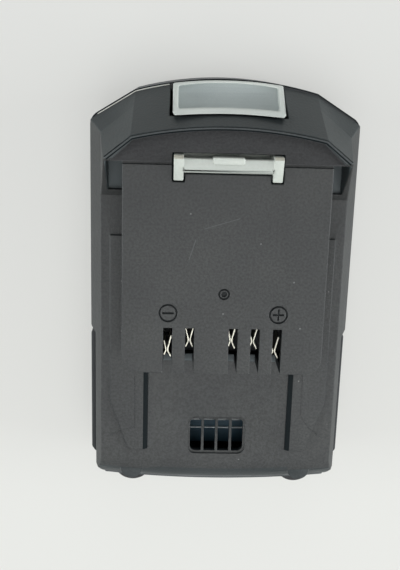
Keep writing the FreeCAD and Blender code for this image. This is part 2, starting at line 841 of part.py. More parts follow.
def cut_deck(body):
    """Rail grooves, latch window, contact slots, vent, marks and screw pilots."""
    groove_top = deck_top - size("rail_lip")
    pocket_front = front - size("pocket_back")
    groove = [(root_half, deck_rear - wall), (deck_half + HAIR, deck_rear - wall),
              (deck_half + HAIR, pocket_front), (root_half, pocket_front)]
    sink_pocket(body, sketch_on(body, "XY_Plane", platform, [groove, mirrored(groove)]),
                groove_top - platform, "rail groove")
    gap = size("latch_gap")
    outer = size("latch_width") / 2 + gap
    inner = outer - size("arm_width") - gap * 2
    toe = latch_face - size("arm_length") - gap
    heel = latch_face - size("arm_flat") - size("bar_length") - gap
    window = [(-outer, toe), (-inner, toe), (-inner, heel), (inner, heel), (inner, toe),
              (outer, toe), (outer, latch_face + gap), (-outer, latch_face + gap)]
    low = ceiling - wall
    sink_pocket(body, sketch_on(body, "XY_Plane", low, [window]), OUT_OF_CASE, "latch window")
    slots = []
    for place_x, row in SLOT_PLACES.values():
        left, right = place_x - size("slot_width") / 2, place_x + size("slot_width") / 2
        slots.append([(left, deck_rear - wall), (right, deck_rear - wall),
                      (right, deck_rear + size("slot_length")),
                      (left, deck_rear + size("slot_length"))])
    level = deck_top - size("slot_drop")
    sink_pocket(body, sketch_on(body, "XY_Plane", level, slots), OUT_OF_CASE, "contact slots")
    line = size("step_groove") / 2
    step_y = front - size("step_back")
    seam = [(outer, step_y - line), (deck_half + HAIR, step_y - line),
            (deck_half + HAIR, step_y + line), (outer, step_y + line)]
    level = deck_top - size("step_depth")
    sink_pocket(body, sketch_on(body, "XY_Plane", level, [seam, mirrored(seam)]), OUT_OF_CASE,
                "step line")
    cut_vent(body)
    cut_marks(body)
    pilots = [(x, y, size("screw_radius")) for x, y in screw_bores]
    low = parting - wall
    sink_pocket(body, sketch_on(body, "XY_Plane", low, circles=pilots),
                wall + size("pilot_rise"), "screw pilots")


def cut_vent(body):
    """A sunk frame with four openings, which leaves three bars."""
    side = size("vent_width") / 2
    low_y = rear + size("vent_inset")
    top_y = low_y + size("vent_length")
    border = size("vent_border")
    frame_low, frame_top = low_y - border, top_y + border
    frame_side = side + border
    frame = [(-frame_side, frame_low), (frame_side, frame_low), (frame_side, frame_top),
             (-frame_side, frame_top)]
    level = shoulder - size("vent_sink")
    sink_pocket(body, sketch_on(body, "XY_Plane", level, [frame]), OUT_OF_CASE, "vent frame")
    round_edges(body, lambda e: upright(e, frame_side, frame_low) or upright(e, frame_side, frame_top),
                size("vent_round"))
    bar = size("vent_bar")
    gap = (size("vent_width") - bar * 3) / 4
    openings = []
    for i in range(4):
        left = -side + (gap + bar) * i
        openings.append([(left, low_y), (left + gap, low_y), (left + gap, top_y), (left, top_y)])
    low = shoulder - wall * 2
    sink_pocket(body, sketch_on(body, "XY_Plane", low, openings), OUT_OF_CASE, "vent openings")
    round_edges(body, lambda e: upright(e, side, low_y) or upright(e, side, top_y),
                size("vent_round") - border)


def cut_marks(body):
    """Ringed minus and plus signs, and the ring and dot left by the moulding gate."""
    line = size("mark_line")
    level = deck_top - size("mark_depth")
    y = front - size("mark_back")
    rings = [(-size("slot_spread"), y, size("mark_ring") / 2),
             (size("slot_spread"), y, size("mark_ring") / 2),
             (as_size(0), front - size("gate_back"), size("gate_ring") / 2)]
    pin = (as_size(0), front - size("gate_back"), size("gate_pin") / 2)
    circles = rings + [(x, y, r - line) for x, y, r in rings] + [pin]
    sink_pocket(body, sketch_on(body, "XY_Plane", level, circles=circles), OUT_OF_CASE, "rings")
    arm = size("mark_ring") / 2 - line * 2
    w = line / 2
    x = -size("slot_spread")
    minus = [(x - arm, y - w), (x + arm, y - w), (x + arm, y + w), (x - arm, y + w)]
    x = size("slot_spread")
    plus = [(x - arm, y - w), (x - w, y - w), (x - w, y - arm), (x + w, y - arm),
            (x + w, y - w), (x + arm, y - w), (x + arm, y + w), (x + w, y + w),
            (x + w, y + arm), (x - w, y + arm), (x - w, y + w), (x - arm, y + w)]
    sink_pocket(body, sketch_on(body, "XY_Plane", level, [minus, plus]), OUT_OF_CASE, "signs")


def side_grip(side):
    """A rubber strip that fills the waist of the case."""
    bevel = size("grip_bevel")
    out = waist + size("grip_thick")
    edge_front = grip_front - size("grip_depth")
    loop = [(waist, grip_rear - bevel), (waist + size("grip_rear_lip"), grip_rear - bevel),
            (out, grip_rear), (out, edge_front - bevel), (out - size("grip_front_lip"), edge_front),
            (waist, edge_front)]
    body = new_body("SideGrip")
    loop = loop if side == "right" else mirrored(loop)
    sketch = sketch_on(body, "XY_Plane", size("grip_low"), [loop])
    raise_pad(body, sketch, deck_top - size("grip_drop") - size("grip_low"))
    keep(f"side_grip_{side}", body)


def button_edges(rear_in, tip_in, side_in, rear_bow):
    """The button's outline seen from above, moved in from its edges, with both ends bowed."""
    half = size("button_width") / 2 - side_in
    tip = front - size("button_tip_back") - size("button_tip_bow") - tip_in
    return [(-half, button_rear + rear_in), (half, button_rear + rear_in),
            (half, tip), (-half, tip)], {0: -rear_bow, 2: size("button_tip_bow")}


def release_button():
    """A dished button that follows the slope of the hood, with a skirt below it."""
    body = new_body("ReleaseButton")
    wide = size("button_width") / 2
    tip_y = front - size("button_tip_back")
    top_z = deck_top - size("button_drop")
    tip_z = deck_top - size("button_tip_drop")
    skirt_y = front - size("skirt_back")
    inner_y = skirt_y - size("skirt_thick")
    chin = parting + size("latch_travel") + size("button_gap")
    side = [(button_rear, slider_low), (inner_y, chin), (inner_y, skirt_low),
            (skirt_y, skirt_low), (skirt_y, chin), (tip_y, chin), (tip_y, tip_z),
            (button_rear, top_z)]
    raise_pad(body, sketch_on(body, "YZ_Plane", -wide, [side]), size("button_width"))
    round_edges(body, lambda e: upright(e, wide, button_rear), size("button_corner"))
    ledge = [(-wide - HAIR, button_rear - wall), (wide + HAIR, button_rear - wall),
             (wide + HAIR, button_rear), (-wide - HAIR, button_rear)]
    sink_pocket(body, sketch_on(body, "XY_Plane", slider_top, [(ledge, {2: size("button_rear_bow")})]),
                OUT_OF_CASE, "bow of the rear rim")
    tip_side = tip_y - size("button_tip_bow")
    nose = [(-wide - HAIR, tip_side), (wide + HAIR, tip_side), (wide + HAIR, front + wall),
            (-wide - HAIR, front + wall)]
    sink_pocket(body, sketch_on(body, "XY_Plane", chin - HAIR, [(nose, {0: -size("button_tip_bow")})]),
                OUT_OF_CASE, "bow of the tip")
    skirt_half = size("latch_width") / 2
    trim = [(skirt_half, inner_y - wall), (wide + HAIR, inner_y - wall),
            (wide + HAIR, skirt_y + HAIR), (skirt_half, skirt_y + HAIR)]
    sink_pocket(body, sketch_on(body, "XY_Plane", skirt_low - HAIR, [trim, mirrored(trim)]),
                chin - skirt_low - HAIR, "skirt ends")
    # The dish is a scoop kept inside a rounded outline, so that an even rim stands round it
    rim = size("button_rim")
    run, rise = tip_y - button_rear, top_z - tip_z
    high = (button_rear + rim, top_z - rise * rim / run)
    low = (tip_y, tip_z)
    beyond = size("dish_depth")
    scoop = [low, (low[0] + beyond, low[1] + beyond), (high[0] + beyond, high[1] + beyond), high]
    tool = new_body("Scoop")
    raise_pad(tool, sketch_on(tool, "YZ_Plane", -wide, [(scoop, {3: size("dish_depth")})]),
              size("button_width"))
    outline = new_body("DishOutline")
    edge = button_edges(size("button_rear_rim"), size("button_tip_rim"), rim, size("dish_bow"))
    raise_pad(outline, sketch_on(outline, "XY_Plane", parting, [edge]), OUT_OF_CASE)
    inner = wide - rim
    round_edges(outline, lambda e: upright(e, inner, tip_side - size("button_tip_rim"))
                or upright(e, inner, button_rear + size("button_rear_rim")),
                size("button_corner") / 2)
    keep("release_button", cut(body, [shared([tool, outline])]))


def latch_hook():
    """Two ramped catches and their cross bar, on the slider that joins the button."""
    wide = size("latch_width") / 2
    arm = size("arm_width")
    ramp = [(latch_face, slider_top - HAIR),
            (latch_face, deck_top + size("arm_rise") - size("arm_nose")),
            (latch_face - size("arm_flat"), deck_top + size("arm_rise")),
            (latch_face - size("arm_length"), deck_top + size("arm_foot_rise")),
            (latch_face - size("arm_length"), slider_top - HAIR)]
    body = new_body("LatchHook")
    slider = [(-wide, latch_face - size("arm_length")), (wide, latch_face - size("arm_length")),
              (wide, button_rear), (-wide, button_rear)]
    raise_pad(body, sketch_on(body, "XY_Plane", slider_low, [slider]), size("slider_thick"))
    for start in (-wide, wide - arm):
        raise_pad(body, sketch_on(body, "YZ_Plane", start, [ramp]), arm)
    bar_front = latch_face - size("arm_flat")
    bar_rear = bar_front - size("bar_length")
    round_off = size("bar_length") / 4
    bar_top = deck_top + size("bar_rise")
    web = size("bar_length") / 4
    bar = [(bar_rear, ceiling), (bar_rear + web, ceiling), (bar_rear + web, slider_top - HAIR),
           (bar_front - web, slider_top - HAIR), (bar_front - web, ceiling), (bar_front, ceiling),
           (bar_front, bar_top), (bar_rear + round_off, bar_top), (bar_rear, bar_top - round_off)]
    bar = list(reversed(bar))
    raise_pad(body, sketch_on(body, "YZ_Plane", arm - wide, [bar]), (wide - arm) * 2)
    pad_half = size("pad_width") / 2
    bevel = size("pad_length") / 4
    pad_front = bar_front + bevel
    pad_rear = pad_front - size("pad_length")
    pad = [(bevel - pad_half, pad_rear), (pad_half - bevel, pad_rear), (pad_half, pad_rear + bevel),
           (pad_half, pad_front), (-pad_half, pad_front), (-pad_half, pad_rear + bevel)]
    raise_pad(body, sketch_on(body, "XY_Plane", ceiling, [pad]),
              wall + size("arm_rise"))
    stop_y = latch_face + size("arm_width")
    stops = [[(x, stop_y), (x + arm, stop_y), (x + arm, stop_y + arm), (x, stop_y + arm)]
             for x in (size("spring_spread"), -size("spring_spread") - arm)]
    raise_pad(body, sketch_on(body, "XY_Plane", slider_top - HAIR, stops),
              ceiling - slider_top - size("slider_rest") + HAIR)
    keep("latch_hook", body)


def latch_springs():
    """Two compression springs, kept as sleeves of their coils' outer and inner size."""
    sleeves = []
    for sign in (1, -1):
        x, y = sign * size("spring_spread"), front - size("spring_back")
        span = (spring_seat, slider_low)
        outer = rod(x, y, span, size("spring_radius"))
        inner = rod(x, y, span, size("spring_radius") - size("spring_wire"))
        sleeves.append(cut(outer, [inner]))
    keep("latch_springs", group(sleeves))


def contact(label, place_x, row):
    """A spring clip: two leaves that pinch in the middle, a foot and a solder leg."""
    start = front - size(f"{row}_leaf_back")
    end = start - size("leaf_length")
    middle = start - size("leaf_length") / 2
    t, mouth, pinch = size("leaf_thick"), size("leaf_mouth"), size("leaf_pinch")
    leaf = [(place_x + mouth - t, start), (place_x + pinch - t, middle), (place_x + mouth - t, end),
            (place_x + mouth, end), (place_x + pinch, middle), (place_x + mouth, start)]
    other = [(place_x * 2 - x, y) for x, y in reversed(leaf)]
    top = deck_top - size("leaf_drop")
    low = top - size("leaf_height")
    foot = size("contact_foot")
    body = new_body("Contact")
    base = [(place_x - mouth, end), (place_x + mouth, end), (place_x + mouth, start),
            (place_x - mouth, start)]
    raise_pad(body, sketch_on(body, "XY_Plane", low - foot, [base]), foot)
    for loop in (leaf, other):
        raise_pad(body, sketch_on(body, "XY_Plane", low - HAIR, [loop]), size("leaf_height") + HAIR)
    leg, long = size("leg_width") / 2, size("leg_length") / 2
    pin = [(place_x - leg, middle - long), (place_x + leg, middle - long),
           (place_x + leg, middle + long), (place_x - leg, middle + long)]
    raise_pad(body, sketch_on(body, "XY_Plane", board_high, [pin]), low - board_high - foot)
    keep(label, body)


def terminal_holder():
    """The moulded block that keeps the contacts upright on the board."""
    back = deck_rear + wall + size("holder_gap")
    ahead = back + size("holder_length")
    foot_z = deck_top - size("leaf_drop") - size("leaf_height") - size("contact_foot")
    wide = size("holder_half")
    base = block((-wide, wide), (back, ahead), (board_high, foot_z))
    clear = size("screw_gap")
    tools = []
    walls = []
    for place_x, row in SLOT_PLACES.values():
        middle = front - size(f"{row}_leaf_back") - size("leaf_length") / 2
        leg, long = size("leg_width") / 2 + clear, size("leg_length") / 2 + clear
        tools.append(block((place_x - leg, place_x + leg), (middle - long, middle + long),
                           (board_high - wall, foot_z + wall)))
        side = size("slot_pitch") / 2
        thin = size("holder_wall")
        for centre in (place_x - side, place_x + side):
            walls.append(block((centre - thin / 2, centre + thin / 2), (back, ahead),
                               (foot_z - HAIR, deck_top - size("holder_drop"))))
    keep("terminal_holder", cut(join([base] + walls), tools))


def cells():
    for i in range(CELL_COUNT):
        y = pack_middle + cell_pitch * (i - 2)
        can = cross_rod((-cell_half, cell_half), y, cell_height, cell_radius)
        keep(f"cell_{i + 1}", can)


def cell_carrier(side):
    """A frame with five bores that grips one end of every cell, with board posts."""
    span = (carrier_in, carrier_out) if side == "right" else (-carrier_out, -carrier_in)
    body = block(span, (pack_middle - carrier_end, pack_middle + carrier_end), (floor, carrier_top))
    over = size("strip_thick")
    bores = [cross_rod((span[0] - over, span[1] + over), pack_middle + cell_pitch * (i - 2),
                       cell_height, bore_radius) for i in range(CELL_COUNT)]
    sign = 1 if side == "right" else -1
    posts = []
    for y in post_places():
        posts.append(rod(sign * post_half, y, (carrier_top - HAIR, board_low),
                         size("post_radius")))
    pilots = [rod(sign * post_half, y, (board_low - size("board_screw"), board_low + over),
                  size("screw_radius") - size("thread_gap")) for y in post_places()]
    keep(f"cell_carrier_{side}", cut(cut(join([body] + posts), bores), pilots))


def post_places():
    """Posts stand over the plastic between two cells."""
    reach = cell_pitch * 1.5
    return (pack_middle + reach, pack_middle - reach)


def link_strip(label, side, cells_joined):
    """A nickel strip over cell ends, with a tab folded in under the board."""
    t = size("strip_thick")
    sign = 1 if side == "right" else -1
    ys = [pack_middle + cell_pitch * (i - 3) for i in cells_joined]
    w = size("strip_width") / 2
    face = (cell_half, cell_half + t) if sign > 0 else (-cell_half - t, -cell_half)
    plate = block(face, (ys[0] - w, ys[-1] + w), (cell_height - w, cell_height + w))
    middle = (ys[0] + ys[-1]) / 2
    tab = size("tab_width") / 2
    riser = block(face, (middle - tab, middle + tab), (cell_height, board_low))
    inner = board_half - size("tab_width") / 2
    reach = (inner, cell_half + t) if sign > 0 else (-cell_half - t, -inner)
    flap = block(reach, (middle - tab, middle + tab), (board_low - t, board_low))
    keep(label, join([plate, riser, flap]))


def sheets():
    """Insulating sheets at the cell ends and over the cells, and foam under them."""
    t = size("sheet_thick")
    x = cell_half + size("strip_thick") + size("sheet_gap")
    ends_y = (pack_middle - carrier_end, pack_middle + carrier_end)
    for side, span in (("right", (x, x + t)), ("left", (-x - t, -x))):
        keep(f"end_insulator_{side}", block(span, ends_y, (floor, carrier_top)))
    top = cell_height + cell_radius
    gap = size("cell_gap")
    keep("top_insulator", block((-carrier_in + gap, carrier_in - gap), ends_y, (top, top + t)))
    low = cell_height - cell_radius
    keep("foam_strip", block((-carrier_in + gap * 2, carrier_in - gap * 2), ends_y, (floor, low)))


def circuit_board():
    wide = board_half
    board = block((-wide, wide), (board_rear, board_front), (board_low, board_high))
    over = size("strip_thick")
    hole = size("screw_radius") - size("screw_gap")
    holes = [rod(sign * post_half, y, (board_low - over, board_high + over), hole)
             for y in post_places() for sign in (1, -1)]
    keep("circuit_board", cut(board, holes))


def board_parts():
    """What stands on the board: transistors, chip, shunt, capacitors, fuse, thermistor."""
    z = board_high
    y = board_front - size("mosfet_length")
    mosfets = [block((x, x + size("mosfet_width")), (y - size("mosfet_length"), y),
                     (z, z + size("mosfet_high"))) for x in (size("tab_width"), -size("tab_width")
                                                            - size("mosfet_width"))]
    keep("power_transistors", group(mosfets))
    chip = size("chip_width") / 2
    chip_y = board_rear + size("chip_rear_room")
    keep("control_chip", block((-chip, chip), (chip_y - chip, chip_y + chip),
                               (z, z + size("chip_high"))))
    x = board_half / 2
    row = y - size("mosfet_length") - chip
    keep("shunt_resistor", block((-x - chip, -x + chip), (row - chip, row - chip / 2),
                                 (z, z + size("chip_high"))))
    can_top = z + size("can_high")
    cans = [rod(sign * x, chip_y, (z, can_top), size("can_radius")) for sign in (1, -1)]
    keep("capacitors", group(cans))
    keep("fuse", block((x, x + chip), (row - chip, row - chip / 2), (z, z + size("chip_high"))))
    bead_low = cell_height + cell_radius + size("sheet_thick")
    bead = block((-chip / 2, chip / 2), (pack_middle - chip / 2, pack_middle + chip / 2),
                 (bead_low, bead_low + size("bead_high")))
    lead = size("leaf_thick") / 2
    leads = [rod(sign * chip / 4, pack_middle, (bead_low + HAIR, board_low), lead)
             for sign in (1, -1)]
    keep("thermistor", join([bead] + leads))


def screw(x, y, seat, radius, head, head_high, length):
    """A pan-head screw put in from below."""
    shaft = rod(x, y, (seat - HAIR, seat + length), radius)
    return join([shaft, rod(x, y, (seat - head_high, seat), head)])


def screws():
    case = [screw(x, y, head_seat, size("screw_radius"), size("screw_head"),
                  size("screw_head_high"), size("screw_length")) for x, y in screw_bores]
    keep("case_screws", group(case))
    radius = size("screw_radius") - size("thread_gap")
    small = []
    for y in post_places():
        for sign in (1, -1):
            x = sign * post_half
            shaft = rod(x, y, (board_low - size("board_screw"), board_high + HAIR), radius)
            cap = rod(x, y, (board_high, board_high + size("board_screw_head")), radius * 2)
            small.append(join([shaft, cap]))
    keep("board_screws", group(small))


def check_and_write():
    """Stop on any failed object or bad solid, then write one file per sub-part."""
    doc.recompute()
    broken = [o.Label for o in doc.Objects if {"Invalid", "Error"} & set(o.State)]
    if broken:
        raise RuntimeError(f"failed objects: {broken}")
    for label, item in NODES.items():
        if item.Shape.isNull() or not item.Shape.isValid() or not item.Shape.Solids:
            raise RuntimeError(f"{label} has no valid solid")
    os.makedirs("parts", exist_ok=True)
    for label, item in sorted(NODES.items()):
        item.Shape.exportStep(f"parts/{label}.step")
        box = item.Shape.BoundBox
        print(f"{label}: {len(item.Shape.Solids)} solid(s), {item.Shape.Volume:.1f} mm3, "
              f"x {box.XMin:.2f}..{box.XMax:.2f} y {box.YMin:.2f}..{box.YMax:.2f} "
              f"z {box.ZMin:.2f}..{box.ZMax:.2f}")


lower_housing()
upper_housing()
for grip_side in ("left", "right"):
    side_grip(grip_side)
    cell_carrier(grip_side)
release_button()
latch_hook()
latch_springs()
for contact_name, (contact_x, contact_row) in SLOT_PLACES.items():
    contact(contact_name, contact_x, contact_row)
terminal_holder()
cells()
link_strip("positive_strip", "left", [5])
link_strip("negative_strip", "right", [1])
link_strip("link_strip_1_2", "left", [1, 2])
link_strip("link_strip_3_4", "left", [3, 4])
link_strip("link_strip_2_3", "right", [2, 3])
link_strip("link_strip_4_5", "right", [4, 5])
sheets()
circuit_board()
board_parts()
screws()
check_and_write()
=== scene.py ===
# %% [markdown]
# # A slide-on battery pack, dressed for a close look
# The CAD frame gives every hard piece its place and its size. Here each piece gets the rounded edges,
# the grain and the metal that the real one shows. The frame is loaded first, so that nothing below has
# to guess where a piece goes.

import bmesh
import bpy
import math
from mathutils import Matrix, Vector


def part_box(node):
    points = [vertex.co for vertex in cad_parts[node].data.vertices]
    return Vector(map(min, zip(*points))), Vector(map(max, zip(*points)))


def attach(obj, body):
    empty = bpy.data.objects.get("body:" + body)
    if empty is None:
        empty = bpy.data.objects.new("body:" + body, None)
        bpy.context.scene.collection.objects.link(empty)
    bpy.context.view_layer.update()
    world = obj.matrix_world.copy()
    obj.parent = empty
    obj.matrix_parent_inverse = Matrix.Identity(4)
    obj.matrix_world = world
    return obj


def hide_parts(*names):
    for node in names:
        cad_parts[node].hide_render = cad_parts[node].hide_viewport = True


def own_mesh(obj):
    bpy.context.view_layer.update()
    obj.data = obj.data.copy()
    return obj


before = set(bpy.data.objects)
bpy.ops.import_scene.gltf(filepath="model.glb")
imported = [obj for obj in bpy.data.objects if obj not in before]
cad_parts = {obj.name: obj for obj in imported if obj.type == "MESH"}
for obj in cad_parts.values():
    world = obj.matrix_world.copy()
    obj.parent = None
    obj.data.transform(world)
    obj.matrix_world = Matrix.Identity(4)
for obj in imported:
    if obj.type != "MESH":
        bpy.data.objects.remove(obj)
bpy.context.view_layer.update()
MM = 0.001
PACK, LATCH = "pack", "latch"
print("pieces in the frame:", len(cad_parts))

# %% [markdown]
# The photograph looks down on the rails from a little beyond the end with the button. Its lens and place
# were worked out from long edges that are parallel and from pairs of marks that are level with each
# other, so the picture and the solid line up edge by edge.

# %% Camera
lens = bpy.data.cameras.new("Photo lens")
lens.sensor_fit = "VERTICAL"
lens.sensor_height = 36
lens.lens = 52.597
lens.shift_y = -0.00175
lens.clip_start = 0.01
camera = bpy.data.objects.new("Photo camera", lens)
camera.location = Vector((-14.242, 65.9, 264.74)) * MM
camera.rotation_euler = [math.radians(a) for a in (-14.8356, -1.5745, 1.5626)]
bpy.context.scene.collection.objects.link(camera)
bpy.context.scene.camera = camera
print("camera height", round(camera.location.z, 4), "m")

# %% [markdown]
# Every step below makes materials and meshes, so a few helpers come first. Those for materials turn a
# colour from the screen into the shader's numbers, make a node, and do one sum each: a bit of math, a
# stretched range, a blend of two colours. Whatever goes in may be a socket or a plain number.

# %% Helpers for materials
def colour(red, green, blue):
    """A colour given as it looks on screen, turned into the numbers that the shader wants."""
    steps = [v / 255 for v in (red, green, blue)]
    return tuple(v / 12.92 if v < 0.04045 else ((v + 0.055) / 1.055) ** 2.4 for v in steps) + (1.0,)


def add(tree, kind, **settings):
    """A new node with its settings."""
    node = tree.nodes.new(kind)
    for name, value in settings.items():
        setattr(node, name, value)
    return node


def new_material(name):
    """A material that holds its own shader and nothing else yet."""
    material = bpy.data.materials.new(name)
    material.use_nodes = True
    return material, material.node_tree, material.node_tree.nodes["Principled BSDF"]


def feed(tree, value, socket):
    """Give a socket its value: another socket or plain numbers."""
    if isinstance(value, bpy.types.NodeSocket):
        tree.links.new(value, socket)
    else:
        socket.default_value = value


def calc(tree, operation, *values):
    """A math node."""
    node = add(tree, "ShaderNodeMath", operation=operation)
    for slot, value in enumerate(values):
        feed(tree, value, node.inputs[slot])
    return node.outputs[0]


def remap(tree, value, low, high, to_low=0.0, to_high=1.0):
    """Stretch a range of values over another, and clamp it there."""
    node = add(tree, "ShaderNodeMapRange", clamp=True)
    for label, number in (("Value", value), ("From Min", low), ("From Max", high), ("To Min", to_low),
                          ("To Max", to_high)):
        feed(tree, number, node.inputs[label])
    return node.outputs[0]


def mix_colour(tree, factor, first, second):
    """Blend two colours."""
    node = add(tree, "ShaderNodeMix", data_type="RGBA")
    for slot, value in ((0, factor), (6, first), (7, second)):
        feed(tree, value, node.inputs[slot])
    return node.outputs[2]


def one_axis(tree, vector, axis):
    """The X, Y or Z of a vector."""
    node = add(tree, "ShaderNodeSeparateXYZ")
    tree.links.new(vector, node.inputs[0])
    return node.outputs[axis]


print("helpers for materials ready")

# %% [markdown]
# The helpers for meshes put an object into the scene, and make a piece that rides on a body of the frame,
# takes a material for its finish, and stands for the CAD nodes that it covers.

# %% Helpers for meshes
def link_mesh(name, mesh, material=None):
    """Put a finished mesh into the scene under a plain name."""
    piece = bpy.data.objects.new(name, mesh)
    bpy.context.scene.collection.objects.link(piece)
    if material:
        piece.data.materials.append(material)
    return piece


def make_piece(name, shape, material, body=PACK, nodes=()):
    """Turn a finished shape into a piece that rides on a body and stands for its nodes."""
    mesh = bpy.data.meshes.new(name)
    shape.to_mesh(mesh)
    shape.free()
    piece = link_mesh(name, mesh, material)
    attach(piece, body)
    if nodes:
        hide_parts(*nodes)
    return piece


print("helpers for meshes ready")

# %% [markdown]
# A photographer would lay the pack on a sheet of pale card. The card is one flat mesh. It is a little
# lighter at the contacts' end, which is painted light: the fall of the lamps mixed into its colour. Part of
# its grey is shown to the camera by itself, so that the lamps can stay at a level at which a colour comes
# out about as it is mixed.

# %% Card to stand on
# Both card tones are painted light: the card is lighter towards the contacts' end, where more light falls.
CARD_PAINTED_LIGHT, CARD_PAINTED_SHADE = colour(221, 221, 217), colour(214, 214, 211)
CARD_GLOW = 0.6
CARD_REACH = 1.5
card_material, card_tree, card_shader = new_material("Pale card")
card_where = add(card_tree, "ShaderNodeTexCoord").outputs["Object"]
card_painted_falloff = remap(card_tree, one_axis(card_tree, card_where, "Y"), -0.08, 0.09)
card_tone = mix_colour(card_tree, card_painted_falloff, CARD_PAINTED_LIGHT, CARD_PAINTED_SHADE)
card_tree.links.new(card_tone, card_shader.inputs["Base Color"])
card_shader.inputs["Roughness"].default_value = 0.8
glow = add(card_tree, "ShaderNodeEmission")
card_tree.links.new(card_tone, glow.inputs["Color"])
to_camera = add(card_tree, "ShaderNodeLightPath").outputs["Is Camera Ray"]
card_blend = add(card_tree, "ShaderNodeMixShader")
card_tree.links.new(calc(card_tree, "MULTIPLY", to_camera, CARD_GLOW), card_blend.inputs[0])
card_tree.links.new(card_shader.outputs[0], card_blend.inputs[1])
card_tree.links.new(glow.outputs[0], card_blend.inputs[2])
card_tree.links.new(card_blend.outputs[0], card_tree.nodes["Material Output"].inputs[0])
card_mesh = bpy.data.meshes.new("Card")
corners = [(CARD_REACH * x, CARD_REACH * y, 0) for x, y in ((-1, -1), (1, -1), (1, 1), (-1, 1))]
card_mesh.from_pydata(corners, [], [(0, 1, 2, 3)])
card = link_mesh("Card", card_mesh, card_material)
print("card", CARD_REACH * 2, "m wide")

# %% [markdown]
# Four square lamps stand in for a photographer's soft panels: a big one overhead, behind the contacts'
# end, a weak one beyond the button and one low at each side, for the walls. The world is a pale room that
# gets darker towards the button's end, which is why the hood's slope looks darker than the deck.

# %% Soft light
def soft_lamp(name, place, size, power, tint=(1, 1, 1)):
    """A square lamp that looks at the pack."""
    lamp = bpy.data.lights.new(name, "AREA")
    lamp.shape = "SQUARE"
    lamp.size = size
    lamp.energy = power
    lamp.color = tint
    stand = bpy.data.objects.new(name, lamp)
    stand.location = place
    stand.rotation_euler = (Vector((0, 0, 0.03)) - Vector(place)).to_track_quat("-Z", "Y").to_euler()
    bpy.context.scene.collection.objects.link(stand)


soft_lamp("Overhead panel", (0.05, -0.22, 1.1), 0.8, 5.5)
soft_lamp("Front panel", (0.05, 1.0, 0.7), 0.6, 1.35)
soft_lamp("Right panel", (0.8, 0.0, 0.3), 0.5, 6.3, (0.95, 0.99, 1.0))
soft_lamp("Left panel", (-0.8, 0.0, 0.3), 0.5, 5.2, (0.95, 0.99, 1.0))
world = bpy.data.worlds.new("Bright room")
world.use_nodes = True
room = world.node_tree
looking = add(room, "ShaderNodeTexCoord").outputs["Generated"]
room_level = remap(room, one_axis(room, looking, "Y"), -0.6, 0.7, 0.62, 0.3)
room.nodes["Background"].inputs["Color"].default_value = (0.94, 0.98, 1.0, 1)
room.links.new(room_level, room.nodes["Background"].inputs["Strength"])
bpy.context.scene.world = world
bpy.context.scene.view_settings.view_transform = "Standard"

# %% [markdown]
# Plastic, rubber and metal share five effects: a fine grain, a soft edge, slow changes of tone, specks of
# dust and hairline scratches. Each is a node group with named sockets, built once and placed in every
# material that needs it, so one fix reaches all of them.

# %% Ready a node group
def new_group(name, inputs, outputs):
    """An empty group; inputs are (label, kind, value), outputs are (label, kind)."""
    group = bpy.data.node_groups.new(name, "ShaderNodeTree")
    for label, kind, value in inputs:
        socket = group.interface.new_socket(label, in_out="INPUT", socket_type=kind)
        if value is not None:
            socket.default_value = value
    for label, kind in outputs:
        group.interface.new_socket(label, in_out="OUTPUT", socket_type=kind)
    return group, group.nodes.new("NodeGroupInput"), group.nodes.new("NodeGroupOutput")


FLOAT, VECTOR = "NodeSocketFloat", "NodeSocketVector"
print("group tools ready")

# %% [markdown]
# Spark-eroded moulds leave a pebbled skin a third of a millimetre across. A fine noise gives its height
# and its tone; bumps in the mesh itself would need millions of faces.

# %% Fine grain
grain_group, grain_in, grain_out = new_group(
    "Fine grain", [("Vector", VECTOR, None), ("Scale", FLOAT, 1500.0)],
    [("Height", FLOAT), ("Tone", FLOAT)])
pebbles = add(grain_group, "ShaderNodeTexNoise", noise_dimensions="3D")
pebbles.inputs["Detail"].default_value = 2.0
pebbles.inputs["Roughness"].default_value = 0.55
grain_group.links.new(grain_in.outputs["Vector"], pebbles.inputs["Vector"])
grain_group.links.new(grain_in.outputs["Scale"], pebbles.inputs["Scale"])
grain_group.links.new(remap(grain_group, pebbles.outputs[0], 0.3, 0.7), grain_out.inputs["Height"])
grain_group.links.new(remap(grain_group, pebbles.outputs[0], 0.35, 0.65, -1.0, 1.0),
                      grain_out.inputs["Tone"])
print(grain_group.name, "group built")

# %% [markdown]
# Every moulded edge is rounded, and the rounding is where hands and tools polish it. The bevel node bends
# the light there, and where it bends most, the edge counts as worn.

# %% Soft edge
edge_group, edge_in, edge_out = new_group(
    "Soft edge", [("Reach", FLOAT, 0.0004)], [("Normal", VECTOR), ("Wear", FLOAT)])
bevel = add(edge_group, "ShaderNodeBevel", samples=6)
edge_group.links.new(edge_in.outputs["Reach"], bevel.inputs["Radius"])
surface = add(edge_group, "ShaderNodeNewGeometry")
alike = add(edge_group, "ShaderNodeVectorMath", operation="DOT_PRODUCT")
edge_group.links.new(bevel.outputs[0], alike.inputs[0])
edge_group.links.new(surface.outputs["Normal"], alike.inputs[1])
edge_group.links.new(remap(edge_group, alike.outputs["Value"], 0.995, 0.8), edge_out.inputs["Wear"])
edge_group.links.new(bevel.outputs[0], edge_out.inputs["Normal"])
print(edge_group.name, "group built")

# %% [markdown]
# Handling, skin oil and moulding flow make one part of a face a shade lighter than the next. A coarse
# noise stands for all three.

# %% Slow tone
tone_group, tone_in, tone_out = new_group(
    "Slow tone", [("Vector", VECTOR, None), ("Scale", FLOAT, 70.0)], [("Tone", FLOAT)])
clouds = add(tone_group, "ShaderNodeTexNoise", noise_dimensions="3D")
clouds.inputs["Detail"].default_value = 4.0
tone_group.links.new(tone_in.outputs["Vector"], clouds.inputs["Vector"])
tone_group.links.new(tone_in.outputs["Scale"], clouds.inputs["Scale"])
tone_group.links.new(remap(tone_group, clouds.outputs[0], 0.3, 0.7), tone_out.inputs["Tone"])
print(tone_group.name, "group built")

